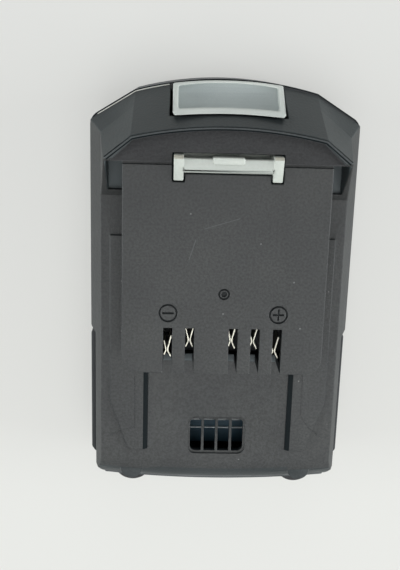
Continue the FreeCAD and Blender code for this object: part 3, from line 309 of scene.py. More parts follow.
# %% [markdown]
# A few pale specks lie on the faces that look up. Each is the middle of a Voronoi cell, and only about
# one cell in twenty is chosen.

# %% Dust specks
dust_group, dust_in, dust_out = new_group(
    "Dust specks", [("Vector", VECTOR, None), ("Spacing", FLOAT, 420.0), ("Size", FLOAT, 0.1)],
    [("Speck", FLOAT)])
cells_of_air = add(dust_group, "ShaderNodeTexVoronoi", feature="F1")
dust_group.links.new(dust_in.outputs["Vector"], cells_of_air.inputs["Vector"])
dust_group.links.new(dust_in.outputs["Spacing"], cells_of_air.inputs["Scale"])
near = calc(dust_group, "LESS_THAN", cells_of_air.outputs["Distance"], dust_in.outputs["Size"])
split = add(dust_group, "ShaderNodeSeparateColor")
dust_group.links.new(cells_of_air.outputs["Color"], split.inputs[0])
chosen = calc(dust_group, "GREATER_THAN", split.outputs[0], 0.95)
facing = add(dust_group, "ShaderNodeNewGeometry").outputs["Normal"]
upward = remap(dust_group, one_axis(dust_group, facing, "Z"), 0.3, 0.9)
dust_group.links.new(calc(dust_group, "MULTIPLY", calc(dust_group, "MULTIPLY", near, chosen), upward),
                     dust_out.inputs["Speck"])
print(dust_group.name, "group built")

# %% [markdown]
# A scratch is a thin line between two points. The group measures how far a point is from that line.

# %% Hairline scratch
scratch_group, scratch_in, scratch_out = new_group(
    "Hairline scratch",
    [("Vector", VECTOR, None), ("Start", VECTOR, (0, 0, 0)), ("End", VECTOR, (0.01, 0, 0)),
     ("Width", FLOAT, 0.0002)], [("Line", FLOAT)])


def vector_calc(tree, operation, first, second):
    """A vector math node fed by two sockets."""
    node = add(tree, "ShaderNodeVectorMath", operation=operation)
    tree.links.new(first, node.inputs[0])
    tree.links.new(second, node.inputs[1])
    return node


along = vector_calc(scratch_group, "SUBTRACT", scratch_in.outputs["End"], scratch_in.outputs["Start"])
offset = vector_calc(scratch_group, "SUBTRACT", scratch_in.outputs["Vector"], scratch_in.outputs["Start"])
both = vector_calc(scratch_group, "DOT_PRODUCT", along.outputs[0], offset.outputs[0]).outputs["Value"]
long_squared = vector_calc(scratch_group, "DOT_PRODUCT", along.outputs[0],
                           along.outputs[0]).outputs["Value"]
part_way = add(scratch_group, "ShaderNodeClamp")
scratch_group.links.new(calc(scratch_group, "DIVIDE", both, long_squared), part_way.inputs[0])
foot = add(scratch_group, "ShaderNodeVectorMath", operation="SCALE")
scratch_group.links.new(along.outputs[0], foot.inputs[0])
scratch_group.links.new(part_way.outputs[0], foot.inputs["Scale"])
away = vector_calc(scratch_group, "DISTANCE", offset.outputs[0], foot.outputs[0]).outputs["Value"]
scratch_group.links.new(remap(scratch_group, away, scratch_in.outputs["Width"], 0.0),
                        scratch_out.inputs["Line"])
print(scratch_group.name, "group built")

# %% [markdown]
# Most of the pack is glass-filled nylon in a near-black grey. It is matt, and its skin breaks the light up.
# A recipe places the shared groups and mixes their masks into colour, roughness and bump, so that each
# plastic is one line of values. A lower shine keeps a deep groove from looking grey, and a fade paints shade
# onto the deck, darker towards the button.

# %% Steps of every recipe
def place_group(tree, group, **values):
    """A group in a material, with its inputs set by name."""
    node = add(tree, "ShaderNodeGroup", node_tree=group)
    node.label = group.name
    for label, value in values.items():
        feed(tree, value, node.inputs[label])
    return node


def give_skin(tree, shader, grain, edge, roughness, bumps):
    """Roughness as (spread, middle) and bumps as (strength, depth), both from the grain."""
    tree.links.new(calc(tree, "MULTIPLY_ADD", grain.outputs["Tone"], *roughness), shader.inputs["Roughness"])
    bump = add(tree, "ShaderNodeBump")
    for label, number in zip(("Strength", "Distance"), bumps):
        bump.inputs[label].default_value = number
    tree.links.new(grain.outputs["Height"], bump.inputs["Height"])
    tree.links.new(edge.outputs["Normal"], bump.inputs["Normal"])
    tree.links.new(bump.outputs[0], shader.inputs["Normal"])


print("steps ready")

# %% Recipe for moulded plastic
DUST_TONE = colour(170, 172, 170)
PLASTIC_EDGE, METAL_EDGE = 0.00035, 0.00012


def moulded(name, dark, light, worn, roughness, grain_size=1500.0, grain_depth=0.00003,
            wear=0.5, dust=0.0, mottle=0.04, scratches=(), shine=0.5, painted_fade=None):
    """Plastic or rubber with its wear; the fade is painted shade along Y: (from, to, share at from, share at
    to).
    """
    material, tree, shader = new_material(name)
    dark, light, worn = colour(*dark), colour(*light), colour(*worn)
    where = add(tree, "ShaderNodeTexCoord").outputs["Object"]
    grain = place_group(tree, grain_group, Vector=where, Scale=grain_size)
    edge = place_group(tree, edge_group, Reach=PLASTIC_EDGE)
    slow = place_group(tree, tone_group, Vector=where)
    paint = mix_colour(tree, slow.outputs["Tone"], dark, light)
    rub = calc(tree, "MULTIPLY", edge.outputs["Wear"], calc(tree, "MULTIPLY", slow.outputs["Tone"], wear))
    paint = mix_colour(tree, rub, paint, worn)
    speckle = calc(tree, "MULTIPLY_ADD", grain.outputs["Tone"], mottle, 1.0)
    if painted_fade:
        speckle = calc(tree, "MULTIPLY", speckle, remap(tree, one_axis(tree, where, "Y"), *painted_fade))
    scaled = add(tree, "ShaderNodeVectorMath", operation="SCALE")
    tree.links.new(paint, scaled.inputs[0])
    tree.links.new(speckle, scaled.inputs["Scale"])
    paint = scaled.outputs[0]
    for start, end, width, strength in scratches:
        line = place_group(tree, scratch_group, Vector=where, Start=start, End=end, Width=width)
        paint = mix_colour(tree, calc(tree, "MULTIPLY", line.outputs["Line"], strength), paint, worn)
    if dust:
        specks = place_group(tree, dust_group, Vector=where)
        paint = mix_colour(tree, calc(tree, "MULTIPLY", specks.outputs["Speck"], dust), paint, DUST_TONE)
    tree.links.new(paint, shader.inputs["Base Color"])
    shader.inputs["Specular IOR Level"].default_value = shine
    give_skin(tree, shader, grain, edge, (0.05, roughness), (0.7, grain_depth))
    return material


def at(x, y, z):
    """A place given in millimetres, in metres."""
    return (x * MM, y * MM, z * MM)


print("recipe ready")

# %% [markdown]
# The case is one nylon with several skins. The deck was etched in the mould and carries two hairline
# scratches, and the hood is finer. The walls round the deck see little light and get painted shade, as do
# the hood, the shelf, the marks and the grooves; the floors of the pockets and the sides get painted light,
# and the tray is lighter. Painting all this into one material would need masks by place; several materials
# are easier to read.

# %% Case plastics
# The housing nylon's fade is painted shade: the deck darkens towards the button.
housing_nylon_and_fade = moulded(
    "Housing nylon with painted shade", (48, 49, 49), (54, 55, 54), (104, 106, 106), 0.62, dust=0.25,
    mottle=0.34, grain_depth=0.00007, painted_fade=(-0.02, 0.045, 1.0, 0.7),
    scratches=((at(-8.1, 20.3, 46), at(-9.8, 14.8, 46), 0.00018, 0.35),
               (at(-5.7, 23.4, 46), at(3.5, 26.3, 46), 0.00018, 0.3)))
# The hood nylon is a darker, bluer copy of the case nylon: painted shade on the hood's slopes and the rear
# band.
hood_finish_and_shade = moulded("Hood nylon, painted shade", (37, 42, 43), (43, 48, 49), (116, 119, 119),
                       0.55, wear=0.8, mottle=0.24, grain_depth=0.00005)
# The shelf nylon is a darker copy of the case nylon: painted shade on the shelf and the tray's rear.
shelf_painted_shade = moulded("Shelf nylon, painted shade", (36, 36, 37), (41, 41, 42), (90, 91, 92), 0.66,
                        mottle=0.34, grain_depth=0.00007)
# The groove finish is painted shade: a near-black copy for grooves, flanks and the platforms' sloped edges.
groove_painted_shade = moulded("Groove painted shade", (14, 20, 22), (18, 24, 26), (40, 44, 46),
                         0.6, wear=0.1, shine=0.1)
# The marks' floors are painted a darker shade, for the shade in the moulded grooves.
mark_painted_shade = moulded("Moulded mark, painted shade", (30, 33, 34), (34, 37, 38), (50, 54, 55),
                       0.6, wear=0.1, shine=0.25)
# The side nylon is a lighter copy of the case nylon: painted light on the outer sides.
side_painted_light = moulded("Side nylon, painted light", (65, 68, 68), (71, 74, 74), (110, 112, 112), 0.62,
                       mottle=0.24, grain_depth=0.00005)
# The pocket finish is painted light: a lighter copy for the floors of the deep pockets and slots.
pocket_painted_light = moulded("Pocket painted light", (78, 86, 88), (84, 92, 94), (120, 124, 124), 0.6, wear=0.2)
# The wall finish is painted shade: a near-black copy for the walls round the deck and other shaded faces.
wall_painted_shade = moulded("Deck walls, painted shade", (20, 24, 26), (25, 29, 31),
                       (64, 68, 70), 0.5, wear=0.2, mottle=0.06)
tray_plastic = moulded("Tray nylon", (60, 64, 66), (66, 69, 71), (116, 120, 121),
                       0.52, wear=0.8, mottle=0.1)
# The rim highlight is painted light: a pale strip where the tray's rim catches a reflection.
painted_rim_highlight = moulded("Rim painted highlight", (188, 189, 182), (206, 206, 198),
                         (205, 206, 200), 0.4, mottle=0.08)
grip_rubber = moulded("Grip rubber", (38, 40, 42), (44, 46, 47), (70, 71, 72), 0.75,
                      grain_size=1900.0, grain_depth=0.00005)
print("case plastics ready")

# %% [markdown]
# The latch and the button are pale acetal, smoother than nylon and with hardly any grain. The faces of the
# catch's arms that look towards the button are painted shade in a darker cream, and the dish of the button
# is painted a tone darker than its rim, which is painted lighter.

# %% Latch and button plastics
latch_plastic = moulded("Latch acetal", (177, 181, 174), (186, 190, 182),
                        (212, 215, 208), 0.42, grain_depth=0.000008, mottle=0.03)
bar_plastic = moulded("Latch bar acetal", (163, 167, 161), (171, 175, 168),
                      (206, 210, 204), 0.42, grain_depth=0.000008, mottle=0.03)
# The arms' front faces are painted shade: a darker cream for the faces that look towards the button.
arm_front_painted_shade = moulded("Arm fronts, painted shade", (150, 148, 136), (164, 162, 150),
                        (188, 186, 174), 0.45, grain_depth=0.000008, mottle=0.05)
# The dish and the rim are shaded and lit copies of one acetal: painted shade in the dish, painted light on
# the rim.
dish_painted_shade = moulded("Button dish, painted shade", (148, 156, 155), (156, 163, 162),
                         (196, 200, 198), 0.45, grain_size=3400.0, grain_depth=0.00001,
                         wear=0.3, mottle=0.03)
button_rim_painted_light = moulded("Button rim, painted light", (190, 195, 190), (198, 202, 197),
                     (214, 217, 212), 0.42, grain_size=3400.0, grain_depth=0.00001, wear=0.4,
                     mottle=0.03)
print("latch and button plastics ready")

# %% [markdown]
# Inside, what shows through the slots and the vent is dark: the terminal holder and blue-green insulating
# paper, whose pale hem is a painted glint. The rest is hidden, and gets the finish that such pieces have.

# %% Plastics, paper and foam inside
holder_plastic = moulded("Terminal holder nylon", (13, 17, 20), (18, 22, 25), (34, 38, 40), 0.6)
carrier_plastic = moulded("Cell carrier plastic", (44, 46, 48), (54, 56, 58), (80, 82, 84), 0.55)
insulating_paper = moulded("Fish paper", (20, 52, 66), (26, 60, 75), (60, 78, 88), 0.6, grain_size=1200.0)
# The pale hem is a painted glint: a bright strip that shows as a highlight line in the vent.
hem_painted_glint = moulded("Paper hem, painted glint", (214, 222, 226), (226, 232, 234),
                    (236, 238, 240), 0.4, grain_size=1200.0)
foam = moulded("Cell foam", (58, 59, 60), (72, 73, 74), (90, 90, 90), 0.95,
               grain_size=900.0, grain_depth=0.0002)
cell_wrap = moulded("Cell sleeve", (62, 104, 118), (70, 114, 126), (120, 150, 156),
                    0.35, grain_size=900.0, grain_depth=0.000006)
package_black = moulded("Moulded package", (26, 27, 29), (34, 35, 37), (60, 60, 60),
                        0.5, grain_size=3800.0)
fuse_body = moulded("Fuse ceramic", (206, 204, 196), (218, 216, 208), (230, 228, 222), 0.5)
thermistor_bead = moulded("Sensor bead", (36, 40, 44), (44, 48, 52), (80, 82, 84), 0.3)
print("plastics:", len(bpy.data.materials) - 1)

# %% [markdown]
# Nickel, tin and steel differ in tint and in how fine the brushing is. Stretching the same grain along
# one way gives the drag lines of rolling or drawing, so the metals need no group of their own.

# %% Recipe for metal
def metal(name, tint, deep, roughness, brush=(900.0, 120.0, 900.0)):
    """Rolled or drawn metal with fine drag lines along one way."""
    material, tree, shader = new_material(name)
    tint, deep = colour(*tint), colour(*deep)
    where = add(tree, "ShaderNodeTexCoord").outputs["Object"]
    stretch = add(tree, "ShaderNodeMapping")
    stretch.inputs["Scale"].default_value = brush
    tree.links.new(where, stretch.inputs["Vector"])
    grain = place_group(tree, grain_group, Vector=stretch.outputs[0], Scale=4.0)
    edge = place_group(tree, edge_group, Reach=METAL_EDGE)
    slow = place_group(tree, tone_group, Vector=where, Scale=240.0)
    tree.links.new(mix_colour(tree, slow.outputs["Tone"], deep, tint), shader.inputs["Base Color"])
    shader.inputs["Metallic"].default_value = 1.0
    give_skin(tree, shader, grain, edge, (0.08, roughness), (0.5, 0.000006))
    return material


contact_metal = metal("Tinned contact", (222, 220, 206), (204, 202, 188), 0.42)
nickel = metal("Nickel strip", (212, 208, 198), (190, 186, 176), 0.32)
spring_steel = metal("Spring steel", (176, 178, 182), (150, 152, 156), 0.3, brush=(400.0, 400.0, 400.0))
screw_steel = metal("Zinc screw", (186, 188, 192), (160, 162, 166), 0.35, brush=(600.0, 600.0, 200.0))
resistor_metal = metal("Shunt metal", (190, 176, 160), (168, 154, 140), 0.4)
print("metals ready")

# %% [markdown]
# The circuit board is glass cloth under green-black solder mask. Copper tracks stand up through the mask,
# so a stepped pattern of lines lifts it a hair and shifts its tone.

# %% Board finish
board_laminate, board_tree, board_shader = new_material("Board laminate")
board_where = add(board_tree, "ShaderNodeTexCoord").outputs["Object"]
tracks = add(board_tree, "ShaderNodeTexBrick", offset=0.5)
tracks.inputs["Scale"].default_value = 160.0
tracks.inputs["Mortar Size"].default_value = 0.06
tracks.inputs["Color1"].default_value = (0, 0, 0, 1)
tracks.inputs["Color2"].default_value = (0.25, 0.25, 0.25, 1)
tracks.inputs["Mortar"].default_value = (1, 1, 1, 1)
board_tree.links.new(board_where, tracks.inputs["Vector"])
track_mask = calc(board_tree, "MULTIPLY", tracks.outputs["Color"], 1.0)   # a colour made a plain value
board_paint = mix_colour(board_tree, track_mask, colour(12, 24, 29), colour(22, 42, 48))
board_tree.links.new(board_paint, board_shader.inputs["Base Color"])
board_tree.links.new(remap(board_tree, track_mask, 0.0, 1.0, 0.3, 0.22), board_shader.inputs["Roughness"])
board_bump = add(board_tree, "ShaderNodeBump")
board_bump.inputs["Distance"].default_value = 0.00004
board_tree.links.new(track_mask, board_bump.inputs["Height"])
board_tree.links.new(board_bump.outputs[0], board_shader.inputs["Normal"])
print(board_laminate.name, "has", len(board_tree.nodes), "nodes")

# %% [markdown]
# A mould can't cut a knife edge, and nobody would want to hold one. The CAD solids keep their edges sharp
# for exact fits, so each shell is built again here: its faces are merged back into whole ones, and every
# edge is rounded by a width that suits its place. Outer corners get the full width, inner corners half of
# it, and small marks a hair, so that they stay legible. A big face with holes may fill wrongly once its
# edges have moved, so such faces are cut into triangles first. The cover keeps whole faces: its arcs
# come out smoother that way.

# %% Rounded shells
SHARP_TURN, GENTLE_TURN, FLAT_TURN = 26, 3, 0.6     # degrees between two faces
WELD, ROUND_STEPS = 0.00002, 3


def in_box(low, high, point):
    """Whether a point in metres lies in a box in millimetres."""
    return all(low[i] * MM <= point[i] <= high[i] * MM for i in range(3))


def rounded_shell(name, node, body, material, width, small=(), shape_first=None,
                  gentle_from=None, in_triangles=True):
    """A copy of a CAD shell with rounded edges; small lists (low, high, share of the width)."""
    shape = bmesh.new()
    shape.from_mesh(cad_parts[node].data)
    bmesh.ops.remove_doubles(shape, verts=shape.verts, dist=WELD)
    bmesh.ops.dissolve_degenerate(shape, edges=shape.edges, dist=WELD)
    bmesh.ops.dissolve_limit(shape, angle_limit=math.radians(FLAT_TURN), verts=shape.verts,
                             edges=shape.edges)
    if shape_first:
        shape_first(shape)
    if in_triangles:
        bmesh.ops.triangulate(shape, faces=[face for face in shape.faces if len(face.verts) > 4])
    layer = shape.edges.layers.float.new("bevel_weight_edge")
    for edge in shape.edges:
        turn = math.degrees(edge.calc_face_angle(0))
        middle = (edge.verts[0].co + edge.verts[1].co) / 2
        parts = [part for low, high, part in small if in_box(low, high, middle)]
        gentle = gentle_from is not None and turn > GENTLE_TURN and middle.y > gentle_from * MM
        crisp = turn > SHARP_TURN and 0 in parts
        edge.smooth = not gentle and not crisp
        if turn >= SHARP_TURN and not crisp:
            edge[layer] = min([1.0 if edge.is_convex else 0.5] + parts)
    piece = make_piece(name, shape, material, body, (node,))
    piece.data.shade_smooth()
    rounding = piece.modifiers.new("Rounded edges", "BEVEL")
    rounding.limit_method = "WEIGHT"
    rounding.width = width * MM
    rounding.segments = ROUND_STEPS
    rounding.use_clamp_overlap = False
    rounding.harden_normals = True
    rounding.loop_slide = not in_triangles
    rounding.miter_outer = "MITER_ARC"
    print(name, "built from", len(piece.data.polygons), "faces")
    return piece


print("shell tools ready")

# %% [markdown]
# A moulded piece has several skins, and a mask by place would be hard to draw for each. The finishes are
# given by face instead: a test on a face's middle, in millimetres, and on the way it looks picks the faces
# that take one more material of the same mesh.

# %% Finishes by face
def finish_faces(piece, material, choose):
    """Give the faces that the test picks a finish of their own."""
    piece.data.materials.append(material)
    slot = len(piece.data.materials) - 1
    picked = [face for face in piece.data.polygons if choose(face.center / MM, face.normal)]
    for face in picked:
        face.material_index = slot
    print(piece.name, material.name, len(picked), "faces")


print("face finishes ready")

# %% [markdown]
# The cover's shelf falls a little towards the ridge, which makes it darker than the deck, and the sloped
# inner edges of the two platforms are wider at their foot. The solid keeps both plain, so the points are
# moved here, before the edges are rounded. The vent stays crisp, and beyond the pockets the hood's
# gentle folds show as clean lines.

# %% Shape of the cover
DECK_TOP, SHELF_START, SHELF_FALL = 46.0, 41.0, 0.2
PLATFORM_EDGE, SLOPE_MORE = 21.1, 0.35


def shape_cover(shape):
    """Slope the shelf towards the ridge and widen the foot of the platforms' inner edges."""
    lowered = 0
    for vert in shape.verts:
        x, y, z = vert.co / MM
        on_shelf = 41.5 < y < 52 and not (abs(x) < 15.5 and y < 43.6)
        if abs(z - DECK_TOP) < 0.05 and on_shelf:
            vert.co.z -= SHELF_FALL * (y - SHELF_START) * MM
            lowered += 1
        if abs(abs(x) - PLATFORM_EDGE) < 0.03 and -52 < y < -17 and z < 33.9:
            vert.co.x -= math.copysign(SLOPE_MORE, x) * MM
    print("shelf points lowered:", lowered)


marks_zone = ((-19, -3.5, 45), (19, 8, 46.5), 0.12)
slots_zone = ((-18, -19, 34), (18, -3, 46.5), 0.4)
vent_zone = ((-9, -51.5, 28), (9, -38.5, 34.5), 0)
step_zone = ((-29, 40, 44.5), (29, 41.2, 46.5), 0.35)
cover = rounded_shell("Deck_and_hood", "upper_housing", PACK, housing_nylon_and_fade, 0.3,
                      small=(marks_zone, slots_zone, vent_zone, step_zone), shape_first=shape_cover,
                      gentle_from=27, in_triangles=False)

# %% Skins of the cover
def is_wall(place, way):
    """Upright walls round the deck."""
    return (abs(place.x) < 33.5 and -52 < place.y < 45 and abs(way.z) < 0.3
            and not (abs(place.x) > 28.2 and place.y > 22))


def is_pocket(place, way):
    """Floor and walls of the two pockets beside the front of the deck."""
    return (27.3 < abs(place.x) < 32.6 and 30 < place.y < 40.7 and 33 < place.z < 38
            and (way.z > 0.9 or abs(way.x) > 0.9))


for skin, choose in (
        # the hood and the rear band, with the hood's finish and painted shade
        (hood_finish_and_shade, lambda p, n: p.z > 28.2 and (p.y > 40.9 or p.y < -53.4)),
        # painted shade on the shelf
        (shelf_painted_shade, lambda p, n: n.z > 0.9 and p.y > 41.2 and 43.5 < p.z < 46.4 and abs(p.x) < 33),
        # painted shade on the walls round the deck
        (wall_painted_shade, is_wall),
        # the sloped inner edges of the platforms, in painted shade
        (groove_painted_shade, lambda p, n: 20 < abs(p.x) < 23 and -52 < p.y < -17 and p.z > 32
         and 0.3 < n.z < 0.9),
        # painted light in the pockets
        (pocket_painted_light, is_pocket),
        # painted shade in the marks' floors
        (mark_painted_shade, lambda p, n: n.z > 0.9 and 45 < p.z < 45.95 and abs(p.x) < 19 and -5 < p.y < 9),
        # painted light on the outer sides
        (side_painted_light, lambda p, n: abs(p.x) > 36.2 and abs(n.x) > 0.7 and p.y < 45),
        # the floors of the contact slots, in painted light
        (pocket_painted_light, lambda p, n: n.z > 0.95 and abs(p.x) < 17.5 and -18 < p.y < -3 and 34 < p.z < 38),
        (tray_plastic, lambda p, n: p.y < -57.2)):
    finish_faces(cover, skin, choose)

# %% [markdown]
# The tray closes the pack from below. Its base edge is only softened, so that it stands flat. Its rear skin
# gets painted shade, and the narrow ledge of its rim at the front gets the walls' painted shade, as it lies
# in the hood's shade.

# %% Tray
base_zone = ((-39, -63, -1), (39, 63, 1.2), 0.12)
tray = rounded_shell("Tray", "lower_housing", PACK, tray_plastic, 0.3, small=(base_zone,))
# The tray's rear skin takes the shelf's painted shade, and its front ledge the walls' painted shade.
finish_faces(tray, shelf_painted_shade, lambda p, n: p.y < -59.8)
finish_faces(tray, wall_painted_shade, lambda p, n: p.z > 27 and p.y > 42 and n.z > 0.3)

# %% [markdown]
# The button and the catch are one slide on the real pack, so both ride on the latch's body. The button's rim
# lies in one sloped plane, so what lies behind that plane is dish; the dish gets painted shade, and the
# faces at the button's rear the grooves' painted shade. The catch has a greyer bar, and the front faces of
# its two arms get painted shade in a darker cream.

# %% Button and catch
RIM_PLACE, RIM_WAY, DISH_DEPTH = Vector((0, 52.65, 44)), Vector((0, 12.4, 9.15)).normalized(), 0.12


def is_dish(place, way):
    """The dish inside the button's rim."""
    return (abs(place.x) < 13.8 and 54.1 < place.y < 61.4 and place.z > 31.2
            and (place - RIM_PLACE).dot(RIM_WAY) < -DISH_DEPTH and way.z > 0.2)


button = rounded_shell("Release_button_cap", "release_button", LATCH, button_rim_painted_light, 0.35)
finish_faces(button, dish_painted_shade, is_dish)
# The faces at the button's rear take painted shade.
finish_faces(button, groove_painted_shade, lambda p, n: p.y < 53.7 and (n.z > 0.9 or n.y < -0.5))
catch = rounded_shell("Catch", "latch_hook", LATCH, latch_plastic, 0.28)
finish_faces(catch, bar_plastic, lambda p, n: abs(p.x) < 11.7 and 36 < p.y < 42.5 and 46.5 < p.z < 47.9)
finish_faces(catch, arm_front_painted_shade, lambda p, n: abs(p.x) > 11.5 and p.z > 46.3 and n.y > 0.25)

# %% [markdown]
# The block that holds the contacts, the two rubber grips and the frames round the cells need nothing
# but their edges rounded, so one line makes each.

# %% Holder, grips and cell carriers
rounded_shell("Terminal_holder_block", "terminal_holder", PACK, holder_plastic, 0.12)
for side in ("left", "right"):
    rounded_shell(f"Grip_{side}", f"side_grip_{side}", PACK, grip_rubber, 0.4)
    rounded_shell(f"Carrier_{side}", f"cell_carrier_{side}", PACK, carrier_plastic, 0.2)

# %% [markdown]
# The contacts are spring clips. Each has two thin leaves that lean together, touch at a waist and flare
# again, so that a flat blade can push in from the open end. A prism would look like a block; a real leaf
# is one strip of even thickness, so it is made by walking a smooth path and offsetting it both ways. The
# foot and the solder leg are plain boxes.

# %% Strips and boxes
def join_rows(shape, rows):
    """Join rows of points, all of one length, into a closed skin with two ends."""
    count = len(rows[0])
    for here, after in zip(rows, rows[1:]):
        for k in range(count):
            shape.faces.new((here[k], here[(k + 1) % count], after[(k + 1) % count], after[k]))
    shape.faces.new(rows[0][::-1])
    shape.faces.new(rows[-1])


def bent_strip(start, bend, end, share=0.22, steps=6):
    """Two straight legs with a tight curve where they meet, in plan."""
    start, bend, end = Vector(start), Vector(bend), Vector(end)
    leave, arrive = bend.lerp(start, share), bend.lerp(end, share)
    line = [start]
    for k in range(steps + 1):
        t = k / steps
        line.append(leave.lerp(bend, t).lerp(bend.lerp(arrive, t), t))
    return line + [end]


def leaf_strip(shape, line, thick, low, high):
    """A standing strip of even thickness along the line."""
    rows = []
    for i, point in enumerate(line):
        ahead = line[min(i + 1, len(line) - 1)] - line[max(i - 1, 0)]
        side = Vector((-ahead.y, ahead.x)).normalized() * thick / 2
        rows.append([shape.verts.new((point.x + s * side.x, point.y + s * side.y, z))
                     for s, z in ((1, low), (1, high), (-1, high), (-1, low))])
    join_rows(shape, rows)


def solid_box(shape, low, high):
    """A box added to a growing shape."""
    made = bmesh.ops.create_cube(shape, size=1.0)["verts"]
    low, high = Vector(low), Vector(high)
    span = high - low
    bmesh.ops.transform(shape, verts=made, matrix=Matrix.Translation((low + high) / 2)
                        @ Matrix.Diagonal((span.x, span.y, span.z, 1)))


print("strip tools ready")

# %% Contact clips
LEAF_THICK, LEAF_TALL = 0.0004, 0.0070


def contact_clip(name, node, leaves):
    """Two sprung leaves on a foot, with a solder leg; leaves are plan paths in millimetres."""
    low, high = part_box(node)
    middle = (low.x + high.x) / 2
    shape = bmesh.new()
    leaf_low = high.z - LEAF_TALL
    for path in leaves:
        plan = [(x * MM, y * MM) for x, y in path]
        leaf_strip(shape, bent_strip(*plan), LEAF_THICK, leaf_low, high.z)
    foot = (high.y + low.y) / 2
    solid_box(shape, (middle - 0.0009, low.y + 0.0004, leaf_low - 0.0006),
              (middle + 0.0009, foot, leaf_low + 0.0001))
    solid_box(shape, (middle - 0.0005, foot - 0.0015, low.z), (middle + 0.0005, foot + 0.0015, leaf_low))
    bmesh.ops.recalc_face_normals(shape, faces=shape.faces)
    piece = make_piece(name, shape, contact_metal, nodes=(node,))
    finish_faces(piece, holder_plastic, lambda p, n: p.z < leaf_low / MM + 0.15)
    edge = piece.modifiers.new("Rolled edges", "BEVEL")
    edge.width = 0.00005
    edge.segments = 2
    edge.limit_method = "ANGLE"


def leaf_pair(x, left, right, touch, left_foot, right_foot):
    """Two leaves that lean together from their mouths, touch at a waist and flare again."""
    return [[(x + left[0], left[1]), (x + touch[0] - 0.17, touch[1]), (x + left_foot[0], left_foot[1])],
            [(x + right[0], right[1]), (x + touch[0] + 0.17, touch[1]), (x + right_foot[0], right_foot[1])]]


for name, node, x, ends in (
        ("Clip_minus", "negative_contact", -15.2,
         ((-1.02, -9.8), (1.02, -8.3), (-0.2, -12.7), (-1.0, -14.1), (1.0, -14.6))),
        ("Clip_signal_1", "signal_contact_1", -9.1,
         ((-1.05, -6.1), (1.05, -6.1), (0.0, -9.6), (-1.0, -11.6), (1.0, -11.6))),
        ("Clip_signal_2", "signal_contact_2", 3.0,
         ((-1.05, -6.7), (0.75, -6.0), (-0.3, -9.7), (-1.0, -11.3), (0.85, -11.9))),
        ("Clip_signal_3", "signal_contact_3", 9.1,
         ((-1.05, -7.6), (0.9, -6.0), (-0.25, -9.7), (-1.0, -11.2), (0.95, -11.9))),
        ("Clip_plus", "positive_contact", 15.2,
         ((-1.02, -11.0), (1.02, -8.3), (-0.2, -12.5), (-0.9, -13.6), (1.0, -14.6)))):
    contact_clip(name, node, leaf_pair(x, *ends))
print("five clips stand in their slots")

# %% [markdown]
# Two coil springs push the slider up. Their wire is a tube swept along a helix whose end turns close up and
# lie flat, as a spring's ground ends do.

# %% Coil springs
def swept_tube(shape, line, radius, sides=12):
    """A round wire along a line, closed at both ends."""
    rings = []
    for i, point in enumerate(line):
        ahead = (line[min(i + 1, len(line) - 1)] - line[max(i - 1, 0)]).normalized()
        across = ahead.cross(Vector((0, 0, 1))).normalized()
        up = across.cross(ahead)
        rings.append([shape.verts.new(point + (across * math.cos(a) + up * math.sin(a)) * radius)
                      for a in (k * math.tau / sides for k in range(sides))])
    join_rows(shape, rings)


def coil_line(x, y, low, high):
    """The middle of a spring's wire, with a flat turn at both ends."""
    line = []
    for i in range(int(TURNS * 24) + 1):
        turn = i / 24
        climb = min(max((turn - 0.9) / (TURNS - 1.8), 0), 1)
        out = COIL_RADIUS - WIRE_RADIUS
        line.append(Vector((x + out * math.cos(turn * math.tau), y + out * math.sin(turn * math.tau),
                            low + WIRE_RADIUS + climb * (high - low - 2 * WIRE_RADIUS))))
    return line


COIL_RADIUS, WIRE_RADIUS, TURNS, LATCH_TRAVEL = 0.003, 0.00034, 6.5, 0.003
spring_low, spring_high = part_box("latch_springs")
spring_y = (spring_low.y + spring_high.y) / 2
for side, x in (("right", spring_high.x - COIL_RADIUS), ("left", spring_low.x + COIL_RADIUS)):
    shape = bmesh.new()
    swept_tube(shape, coil_line(x, spring_y, spring_low.z, spring_high.z), WIRE_RADIUS)
    coil = make_piece(f"Spring_{side}", shape, spring_steel)
    coil.data.shade_smooth()
    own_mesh(coil)
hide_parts("latch_springs")
print("springs", round((spring_high.z - spring_low.z) * 1000, 2), "mm tall at rest")

# %% [markdown]
# Fine lines finish the pack. A low bead runs along the crest of the hood, with flanks in painted shade that
# draw it as a double line. The tray's rim has a painted shadow line in front of the hood and a painted
# highlight at one side. A hair-thin witness line in the walls' painted shade runs down each platform, where
# parts of the mould meet, and the pale hem of the insulating sheet is a painted glint in the vent. Each is a
# small profile swept along a line, since a bump could not be seen from the side.

# %% Profiles along a line
def crest_line(half, corner, peak, end, steps=24):
    """A line in plan from one end round an arc to the other, in millimetres."""
    rise = peak - corner
    radius = (half * half + rise * rise) / (2 * rise)
    arc = [(half - 2 * half * i / steps) for i in range(steps + 1)]
    middle = [(x, peak - radius + math.sqrt(radius * radius - x * x)) for x in arc]
    return [end] + middle + [(-end[0], end[1])]


def swept_profile(shape, line, profile):
    """Sweep a closed profile of (out, up) points along a line in plan, with mitred corners."""
    rows = []
    for i, (x, y) in enumerate(line):
        before, after = Vector(line[max(i - 1, 0)]), Vector(line[min(i + 1, len(line) - 1)])
        here = Vector((x, y))
        first = (here - before).normalized() if i else (after - here).normalized()
        second = (after - here).normalized() if i < len(line) - 1 else first
        turn = (first + second).normalized()
        side = Vector((turn.y, -turn.x)) / max(turn.dot(first), 0.5)
        rows.append([shape.verts.new(at(here.x + side.x * u, here.y + side.y * u, z)) for u, z in profile])
    join_rows(shape, rows)
    bmesh.ops.recalc_face_normals(shape, faces=shape.faces)


def front_edge(peak, places):
    """Points of the case's bowed front edge, whose middle lies at peak."""
    return [(x, peak - 3.45 * (x / 25.5) ** 2) for x in places]


